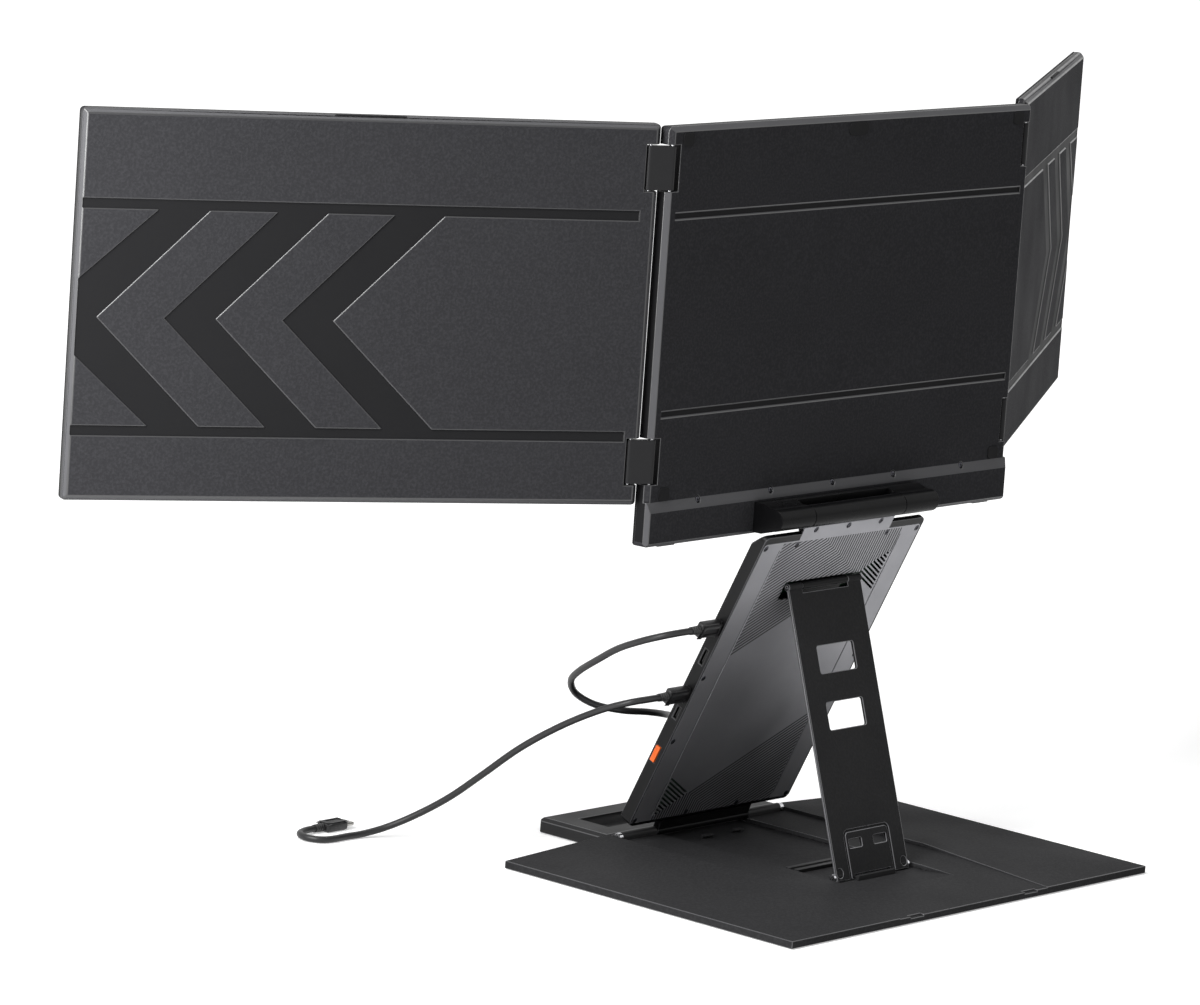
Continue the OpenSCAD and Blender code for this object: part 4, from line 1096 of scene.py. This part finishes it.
@dataclass
class Plug:
    """A moulded plug with a plated shell and a ribbed, tapering strain relief.

    Its own X axis runs from the socket to the cord.
    """

    body_l: float = 19.0
    body_w: float = 12.5
    body_h: float = 6.5
    tip_l: float = 6.2
    tip_w: float = 8.2
    tip_h: float = 2.4
    neck_l: float = 8.0
    cord_d: float = 4.4
    rings: int = 4
    ring_deep: float = 0.45
    corner: float = 1.5
    taper: tuple[float, float, float] = (1.0, 0.86, 0.82)
    step_in: float = 1.6
    step_deep: float = 0.25
    tip_corner: float = 1.0
    tip_wall: float = 0.35
    tip_floor: float = 0.6

    def body(self) -> Thing:
        """Moulds the grip: a rounded block with two shallow steps toward the cord."""
        half_w, half_h = self.body_w / 2, self.body_h / 2
        piece = block("plug_grip", (0.0, -half_h, -half_w), (self.body_l, half_h, half_w))
        pick_faces(piece, lambda f: f.normal.x > 0.9)
        bpy.ops.transform.resize(value=self.taper)
        finish_edit()
        round_edges(piece, self.corner, 4)
        for sign in (1, -1):
            pick_faces(piece, lambda f: f.normal.y * sign > 0.9)
            bpy.ops.mesh.inset(thickness=self.step_in * MM, depth=0.0)
            bpy.ops.mesh.inset(thickness=self.step_deep * MM, depth=-self.step_deep * MM)
            finish_edit()
        return painted(smoothed(piece), PLUG)

    def tip(self) -> Thing:
        """Folds the plated shell: a flat rounded tube, hollow at its mouth."""
        half_w, half_h = self.tip_w / 2, self.tip_h / 2
        piece = block("plug_shell", (-self.tip_l, -half_h, -half_w), (0.2, half_h, half_w))
        round_edges(piece, self.tip_corner, 4, lambda a, b: abs(a.x - b.x) > MM)
        pick_faces(piece, lambda f: f.normal.x < -0.9)
        bpy.ops.mesh.inset(thickness=self.tip_wall * MM, depth=0.0)
        bpy.ops.mesh.extrude_region_move(
            TRANSFORM_OT_translate={"value": ((self.tip_l - self.tip_floor) * MM, 0.0, 0.0)}
        )
        finish_edit()
        return painted(smoothed(piece), PLATED)

    def neck(self) -> Thing:
        """Spins the strain relief: rings that get slimmer toward the cord."""
        thick = self.body_h / 2 - self.ring_deep
        slim = self.cord_d / 2 + 0.3
        profile = [(0.0, -0.4), (thick, -0.4)]
        pitch = self.neck_l / self.rings
        for i in range(self.rings):
            r = thick + (slim - thick) * i / self.rings
            z = i * pitch
            inner = r - self.ring_deep
            profile += [(r, z), (r, z + 0.6 * pitch), (inner, z + 0.7 * pitch)]
            profile.append((inner, z + 0.9 * pitch))
        profile += [(slim, self.neck_l), (self.cord_d / 2 - 0.2, self.neck_l), (0.0, self.neck_l)]
        piece = spun("plug_neck", profile, 24)
        moved(piece, shift(self.body_l, 0, 0) @ turn(90, "Y"))
        return painted(smoothed(piece, 35.0), PLUG)

    def build(self) -> Thing:
        """Builds one whole plug at the origin and returns it."""
        return joined("plug", [self.body(), self.tip(), self.neck()])


@dataclass
class CordSet:
    """The two cords with their plugs, and the hank of spare power cord."""

    arm: Matrix
    cord_d: float = 4.4
    plug: Plug = field(default_factory=Plug)
    arm_side: float = 81.3
    port_depth: float = -4.5
    signal_s: float = 101.0
    power_s: float = 152.0
    signal_l: float = 0.295
    power_l: float = 1.2
    hank_at: tuple[float, float, float] = (-160.0, -235.0, 0.0)
    hank_turn: float = 40.0
    half_run: float = 20.0
    outer_r: float = 24.3
    inner_r: float = 19.7
    low_z: float = 2.75
    high_z: float = 7.25
    lane_in: float = 29.1
    exit_step: float = 8.0
    exit_steps: int = 10
    plug_z: float = 3.25
    desk_m: float = 0.012
    tie_half: float = 7.0
    tie_room: float = 2.7
    tie_corner: float = 1.6
    tie_thick: float = 0.45

    @property
    def reach(self) -> float:
        """Returns the length of a plug from its socket to its cord."""
        return self.plug.body_l + self.plug.neck_l

    def socket(self, s: float) -> Matrix:
        """Returns the place of a plug on the arm, s millimetres up it."""
        return self.arm @ shift(self.arm_side, self.port_depth, s)

    def start(self, s: float) -> Vector:
        """Returns where a cord leaves its plug on the arm, in millimetres."""
        return self.socket(s) @ Vector((self.reach * MM, 0, 0)) / MM

    def signal_route(self) -> list[Vector]:
        """Returns the signal cord's line, in metres."""
        return smooth_line(
            [
                self.start(self.signal_s),
                (118.8, -65, 111.4), (128.5, -72, 108.9), (134, -90, 101), (141, -114, 87),
                (150, -138, 69), (159, -160, 48), (167, -178, 31), (176, -196, 17),
                (187, -210, 7.4), (201, -217.5, 3), (215, -219.5, 2.4), (229.5, -219.5, 2.4),
                (237.5, -222.8, 2.5), (240.8, -230.8, 2.6), (237.5, -238.8, 2.8),
                (229.5, -242.1, 3.1), (221, -242.2, 3.3),
            ],
            6,
        )

    def hank_frame(self) -> Matrix:
        """Returns the hank's own frame, its X axis along the hank."""
        return shift(*self.hank_at) @ turn(self.hank_turn, "Z")

    def fold(self, end: int, r0: float, r1: float, z: float, steps: int = 14) -> list[Point]:
        """Draws one fold of the hank.

        Args:
            end: 1 for the fold at the X end, -1 for the other.
            r0: Radius where the fold starts.
            r1: Radius where it ends.
            z: Height.
            steps: Steps of the half turn.

        Returns:
            The fold's points in the hank's frame, in millimetres.
        """
        points = []
        for i in range(steps + 1):
            angle = math.pi * (i / steps + (0.5 if end < 0 else -0.5))
            r = r0 + (r1 - r0) * i / steps
            points.append((end * self.half_run + r * math.cos(angle), r * math.sin(angle), z))
        return points

    def change_lane(
        self, y0: float, y1: float, z0: float, z1: float, steps: int = 12
    ) -> list[Point]:
        """Draws the straight run where the cord climbs, then changes its lane.

        Args:
            y0: Lane at the start.
            y1: Lane at the end.
            z0: Height at the start.
            z1: Height at the end.
            steps: Steps of the run.

        Returns:
            The run's points in the hank's frame, in millimetres, without its two ends.
        """
        points = []
        for i in range(1, steps):
            t = i / steps
            rise = min(1.0, 2 * t)
            cross = max(0.0, 2 * t - 1)
            climb = rise * rise * (3 - 2 * rise)
            drift = cross * cross * (3 - 2 * cross)
            x = self.half_run * (1 - 2 * t)
            points.append((x, y0 + (y1 - y0) * drift, z0 + (z1 - z0) * climb))
        return points

    def hank(self) -> list[Vector]:
        """Returns the hank's line, in metres: three turns, then out to the plug."""
        out, inn, low, high = self.outer_r, self.inner_r, self.low_z, self.high_z
        line = self.change_lane(self.lane_in, out, low, low)
        line += self.fold(-1, out, out, low) + self.fold(1, out, out, low)
        line += self.change_lane(out, inn, low, low)
        line += self.fold(-1, inn, inn, low) + self.fold(1, inn, inn, low)
        line += self.change_lane(inn, inn, low, high)
        line += self.fold(-1, inn, inn, high) + self.fold(1, inn, out, high)
        for i in range(1, self.exit_steps + 1):
            # The cord keeps its height at first, then sinks to the plug's
            t = max(0.0, (i - 5.5) / 4.5)
            height = high + (self.plug_z - high) * t * t * (3 - 2 * t)
            line.append((self.half_run - self.exit_step * i, out, height))
        place = self.hank_frame()
        return [place @ (Vector(p) * MM) for p in line]

    def power_route(self) -> list[Vector]:
        """Returns the power cord's line from the arm to its far plug, in metres."""
        route = smooth_line(
            [
                self.start(self.power_s),
                (118.6, -45.2, 157.6), (126.5, -52.5, 154.8), (129, -66, 149.4),
                (125.5, -86, 140.5), (120, -106, 129), (113, -126, 117), (105, -138.5, 107.5),
                (95, -142, 97.5), (84, -134.5, 90.5), (70, -123, 87.5), (52, -118.5, 85.5),
                (30, -121.5, 81), (0, -138, 72), (-30, -158, 53), (-55.5, -160.4, 37.5),
                (-71.2, -169.7, 22), (-91.7, -176.4, 10.5), (-113.3, -180.2, 4.4),
                (-133.5, -184.1, 2.5), (-149.8, -189.6, 2.4), (-161.9, -198.6, 2.8),
            ],
            6,
        )
        return route + self.hank()

    def far_plug(self) -> Matrix:
        """Returns the place of the power cord's far plug."""
        end = self.half_run - self.exit_step * self.exit_steps
        spot = shift(end - self.reach, self.outer_r, self.plug_z)
        return self.hank_frame() @ spot @ turn(90, "X")

    def loose_plug(self) -> Matrix:
        """Returns the place of the signal cord's far plug."""
        end = self.signal_route()[-1]
        return Matrix.Translation(end - Vector((self.reach * MM, 0, 0))) @ turn(90, "X")

    def tie(self) -> Thing:
        """Wraps the tape round the straight run on the hank's far side."""
        room = self.tie_room
        low = (-self.tie_half, -self.outer_r - room, 0.1)
        high = (self.tie_half, -self.inner_r + room, self.high_z + room)
        piece = block("cord_tie", low, high)
        round_edges(piece, self.tie_corner, 3, lambda a, b: abs(a.x - b.x) > MM)
        pick_faces(piece, lambda f: abs(f.normal.x) > 0.9)
        bpy.ops.mesh.delete(type="FACE")
        finish_edit()
        thicken = piece.modifiers.new("thicken", "SOLIDIFY")
        thicken.thickness = self.tie_thick * MM
        thicken.offset = -1.0
        only(piece)
        bpy.ops.object.modifier_apply(modifier=thicken.name)
        moved(piece, self.hank_frame())
        return seat(painted(smoothed(piece), TIE), "base")

    def build(self) -> None:
        plug = self.plug.build()
        plugs = {
            "signal_cord_arm_plug": ("arm", self.socket(self.signal_s)),
            "power_cord_arm_plug": ("arm", self.socket(self.power_s)),
            "signal_cord_end_plug": ("base", self.loose_plug()),
            "power_cord_end_plug": ("base", self.far_plug()),
        }
        made = {}
        for node, (body, place) in plugs.items():
            made[node] = seat(copy_at(plug, node + "_piece", place), body, [node])
        bpy.data.objects.remove(plug)
        self.cord(
            "signal_cord", self.signal_route(),
            [made["signal_cord_arm_plug"], made["signal_cord_end_plug"]], ["signal_cord"],
        )
        self.cord(
            "power_cord", self.power_route(),
            [made["power_cord_arm_plug"], made["power_cord_end_plug"], self.tie()],
            ["power_cord", "power_cord_hank"],
        )

    def cord(
        self, name: str, line: list[Vector],
        ends: list[Thing], nodes: list[str],
    ) -> None:
        """Builds one cord's tube along its line, between the arm and the desk.

        Args:
            name: The cord's name.
            line: Its line, in metres.
            ends: The pieces on it. Not used.
            nodes: The construction nodes that it stands for.
        """
        piece = painted(tube(name + "_piece", line, self.cord_d), SHEATH)
        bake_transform(piece)
        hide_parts(*nodes)
        log.info("cord %s laid", name)


# --- Screws -------------------------------------------------------------------------


@dataclass(frozen=True)
class Screw:
    """A small pan-head screw with a cross recess; its head faces +Z from height 0."""

    head_r: float
    head_h: float
    shank_r: float
    shank_l: float

    def build(self) -> Thing:
        """Turns one screw at the origin, its shoulder rounded, and returns it."""
        r, h = self.head_r, self.head_h
        profile = [
            (0.0, -self.shank_l), (self.shank_r - 0.3, -self.shank_l),
            (self.shank_r, 0.4 - self.shank_l), (self.shank_r, 0.0), (r, 0.0),
            (r, 0.55 * h), (0.86 * r, 0.88 * h), (0.6 * r, h), (0.0, h),
        ]
        piece = spun("screw", profile, 24)
        arm, slot = 0.58 * r, 0.15 * r
        carve(piece, block("recess_a", (-arm, -slot, 0.25 * h), (arm, slot, 2 * h)))
        carve(piece, block("recess_b", (-slot, -arm, 0.25 * h), (slot, arm, 2 * h)))
        return painted(smoothed(piece, 35.0), SCREW)

    def row(self, name: str, places: Sequence[Matrix]) -> Thing:
        """Copies the screw to its places and joins the copies.

        Args:
            name: The joined piece's name.
            places: Where each head's underside sits.

        Returns:
            The joined piece.
        """
        first = self.build()
        copies = [copy_at(first, f"{name}_{i}", place) for i, place in enumerate(places)]
        bpy.data.objects.remove(first)
        return joined(name, copies)


# --- Base ---------------------------------------------------------------------------


@dataclass
class Base:
    """The base plate with its foot, hinge blocks, tray fittings and hidden pieces."""

    body: str = "base"
    screw_x: float = 140.0
    screw_y: float = 98.0
    plate_z: float = 0.6
    screw: Screw = Screw(head_r=2.6, head_h=0.8, shank_r=1.4, shank_l=3.0)

    def build(self) -> None:
        """Builds and dresses the base."""
        eased("base_plate", self.body, POWDER, 0.4, POWDER_EDGE_HIGHLIGHT)
        eased("front_foot", self.body, FOOT, 0.4, FOOT_EDGE_HIGHLIGHT)
        for node in ("arm_hinge_blocks", "prop_stop_bar", "prop_foot_stop"):
            eased(node, self.body, FOOT, 0.25)
        eased("tray_hooks", self.body, FOOT, 0.2)
        eased("base_feet", self.body, RUBBER, 0.2)
        carry(POWDER, "base_bottom_cover")
        carry(BALLAST, "base_weights")
        carry(BRIGHT, "arm_hinge_pin")
        self.screws()

    def screws(self) -> None:
        """Turns the four screws of the bottom cover."""
        up = self.plate_z + self.screw.head_h
        xs, ys = (-self.screw_x, self.screw_x), (-self.screw_y, self.screw_y)
        places = [shift(x, y, up) @ turn(180, "X") for x in xs for y in ys]
        piece = self.screw.row("base_screws_piece", places)
        seat(piece, self.body, ["base_screws"])


# --- Arm ----------------------------------------------------------------------------


@dataclass
class Arm:
    """The leaning arm: its plastic frame, ribbed sheet cover, sockets and switch."""

    body: str = "arm"
    foot: tuple[float, float, float] = (0.0, -101.2, 17.5)
    lean_deg: float = -24.0
    width: float = 162.2
    length: float = 222.0
    tab_w: float = 91.6
    port_y: float = -4.5
    mini_s: float = 129.0
    inlet_s: float = 86.0
    tongue_in: tuple[float, float] = (7.0, 1.0)
    tongue_half: float = 0.35
    key_rim: float = 0.8
    key_sunk: float = 0.3
    screw: Screw = Screw(head_r=2.1, head_h=0.8, shank_r=1.4, shank_l=2.6)
    screw_in: float = 4.2
    top_row_down: float = 8.2
    middle_row_down: float = 107.0
    lower_row_s: float = 66.0
    foot_row_s: float = 4.0
    foot_row_x: float = 25.6
    tab_row_x: float = 33.0
    tab_row_up: float = 1.9
    sunk: float = 0.6
    middle_sunk: float = 0.3

    def place(self) -> Matrix:
        """Returns the arm's own frame: Y off its back, Z up along it."""
        return shift(*self.foot) @ turn(self.lean_deg, "X")

    def build(self) -> None:
        """Builds and dresses the arm."""
        eased("arm_frame", self.body, ARM_PLASTIC, 0.5, ARM_EDGE_HIGHLIGHT)
        eased("arm_back_cover", self.body, ARM_SHEET, 0.12, touch=self.grooves)
        eased("tilt_barrel", self.body, HINGE, 0.4)
        eased("prop_hinge", self.body, HINGE, 0.2)
        carry(BOARD, "arm_circuit_board")
        carry(PORT_SHADE, "usb_c_ports", "mini_port", "power_inlet")
        carry(BRIGHT, "prop_hinge_pin", "tilt_shaft")
        self.screws()
        self.tongues()
        self.switch()

    def screws(self) -> None:
        """Turns the screws of the back cover; the middle one, with no recess, is higher."""
        side = self.width / 2 - self.screw_in
        top = self.length - self.top_row_down
        tab = self.length + self.tab_row_up
        spots = [
            (side, top), (self.tab_w / 2, top), (side, self.length - self.middle_row_down),
            (side, self.lower_row_s), (side, self.foot_row_s),
            (self.foot_row_x, self.foot_row_s), (self.tab_row_x, tab),
        ]
        spots += [(-x, s) for x, s in spots] + [(0.0, tab)]
        places = []
        for x, s in spots:
            sunk = self.sunk if x else self.middle_sunk
            places.append(self.place() @ shift(x, -sunk, s) @ turn(-90, "X"))
        piece = self.screw.row("arm_cover_screws_piece", places)
        seat(piece, self.body, ["arm_cover_screws"])

    def grooves(self, piece: Thing) -> None:
        """Paints shade into the two narrow grooves of the cover.

        Args:
            piece: The back cover.
        """
        paint_depth(piece, GROOVE_SHADE, 0.2, 0.6)

    def tongues(self) -> None:
        """Adds the contact tongues inside the open sockets."""
        tongues = []
        for i, (s, reach) in enumerate(((self.mini_s, 4.2), (self.inlet_s, 3.2))):
            deep, shallow = (self.width / 2 - x for x in self.tongue_in)
            low = (deep, self.port_y - self.tongue_half, s - reach)
            high = (shallow, self.port_y + self.tongue_half, s + reach)
            tongue = block(f"tongue_{i}", low, high)
            round_edges(tongue, 0.15, 2)
            tongues.append(painted(smoothed(tongue), PLUG))
        piece = moved(joined("socket_tongues", tongues), self.place())
        seat(piece, self.body)

    def switch(self) -> None:
        """Moulds the orange key with a shallow thumb groove."""

        def groove(piece: Thing) -> None:
            """Sinks the key's outer face a little, inside a rim."""
            pick_faces(piece, lambda f: f.normal.x > 0.95 and f.area > 2e-5)
            bpy.ops.mesh.inset(thickness=self.key_rim * MM, depth=0.0)
            bpy.ops.mesh.inset(thickness=self.key_sunk * MM, depth=-self.key_sunk * MM)
            finish_edit()

        eased("power_button", "power_button", KEY, 0.35, touch=groove)


# --- Kickstand ----------------------------------------------------------------------


@dataclass
class Kickstand:
    """The folding prop behind the arm."""

    body: str = "prop"

    def build(self) -> None:
        """Builds and dresses the kickstand."""
        eased("prop_plate", self.body, DIP_COAT, 0.45, DIP_EDGE_HIGHLIGHT)
        carry(BRIGHT, "prop_foot_rod")


# --- Displays -----------------------------------------------------------------------


@dataclass
class CentreDisplay:
    """The centre display with its chin, bumpers and the tilt bracket."""

    body: str = "centre_display"
    tilt: tuple[float, float, float] = (0.0, -7.810, 232.174)
    lean_deg: float = 1.15
    back_y: float = -18.5
    screw: Screw = Screw(head_r=1.9, head_h=1.2, shank_r=1.4, shank_l=4.0)
    screw_z: float = 15.2
    screw_x: tuple[float, ...] = (-134.0, -62.5, 0.0, 62.5, 134.0)

    def place(self) -> Matrix:
        """Returns the display's frame, on the tilt axis."""
        return shift(*self.tilt) @ turn(self.lean_deg, "X")

    def build(self) -> None:
        """Builds and dresses the centre display."""
        eased("centre_back_cover", self.body, SHELL, 0.35, SHELL_EDGE, self.grooves)
        eased("centre_bezel", self.body, SMOOTH_SHELL, 0.25)
        eased("tilt_bracket", self.body, HINGE, 0.4)
        eased("centre_bumpers", self.body, RUBBER, 0.25)
        carry(PANEL, "centre_lcd_panel")
        carry(FILM, "centre_glass")
        carry(BOARD, "centre_driver_board")
        places = []
        for x in self.screw_x:
            spot = shift(x, self.back_y - 1.0, self.screw_z)
            places.append(self.place() @ spot @ turn(-90, "X"))
        piece = self.screw.row("centre_screws_piece", places)
        seat(piece, self.body, ["centre_screws"])

    def grooves(self, piece: Thing) -> None:
        """Smooths the grooves across the back, paints its chamfers paler as a highlight and its
        walls dark as shade.

        Args:
            piece: The back cover.
        """
        paint_depth(piece, SMOOTH_SHELL, 0.5, 1.1)
        paint_slopes(piece, SHELL_CHAMFER_HIGHLIGHT, SHELL_WALL_SHADE)


class Side(Enum):
    """Which side of the centre display a side display hangs on."""

    RIGHT = "right"
    LEFT = "left"


@dataclass
class SideDisplay:
    """One side display with its patterned back and its pair of hinge blocks."""

    side: Side

    def build(self) -> None:
        """Builds and dresses the side display."""
        name = self.side.value
        display = name + "_display"
        blocks = name + "_blocks"
        eased(name + "_back_cover", display, SHELL, 0.75, SHELL_EDGE, self.relief)
        eased(name + "_bezel", display, SMOOTH_SHELL, 0.25)
        eased(name + "_top_pad", display, RUBBER, 0.2)
        eased(name + "_hinge_blocks", blocks, BLOCK_HIGHLIGHT, 0.3)
        carry(BRIGHT, name + "_hinge_pins")
        carry(PANEL, name + "_lcd_panel")
        carry(FILM, name + "_glass")
        carry(BOARD, name + "_driver_board")

    def relief(self, piece: Thing) -> None:
        """Smooths the floor round the raised pattern, paints chamfers paler as a highlight and
        walls dark as shade.

        Args:
            piece: The back cover.
        """
        paint_depth(piece, SMOOTH_SHELL, 0.6, 1.2)
        paint_slopes(piece, SHELL_CHAMFER_HIGHLIGHT, SHELL_WALL_SHADE)


# --- Everything in order ------------------------------------------------------------


def main() -> None:
    """Builds the camera and the cords first, then the rest of the object."""
    logging.basicConfig(level=logging.INFO, format="%(message)s")
    bpy.context.scene.view_settings.view_transform = "Standard"
    studio = Studio()
    studio.camera()
    arm = Arm()
    CordSet(arm.place()).build()
    Base().build()
    arm.build()
    Kickstand().build()
    CentreDisplay().build()
    SideDisplay(Side.RIGHT).build()
    SideDisplay(Side.LEFT).build()
    studio.surroundings()
    studio.floor()
    studio.light()


if __name__ == "__main__":
    main()
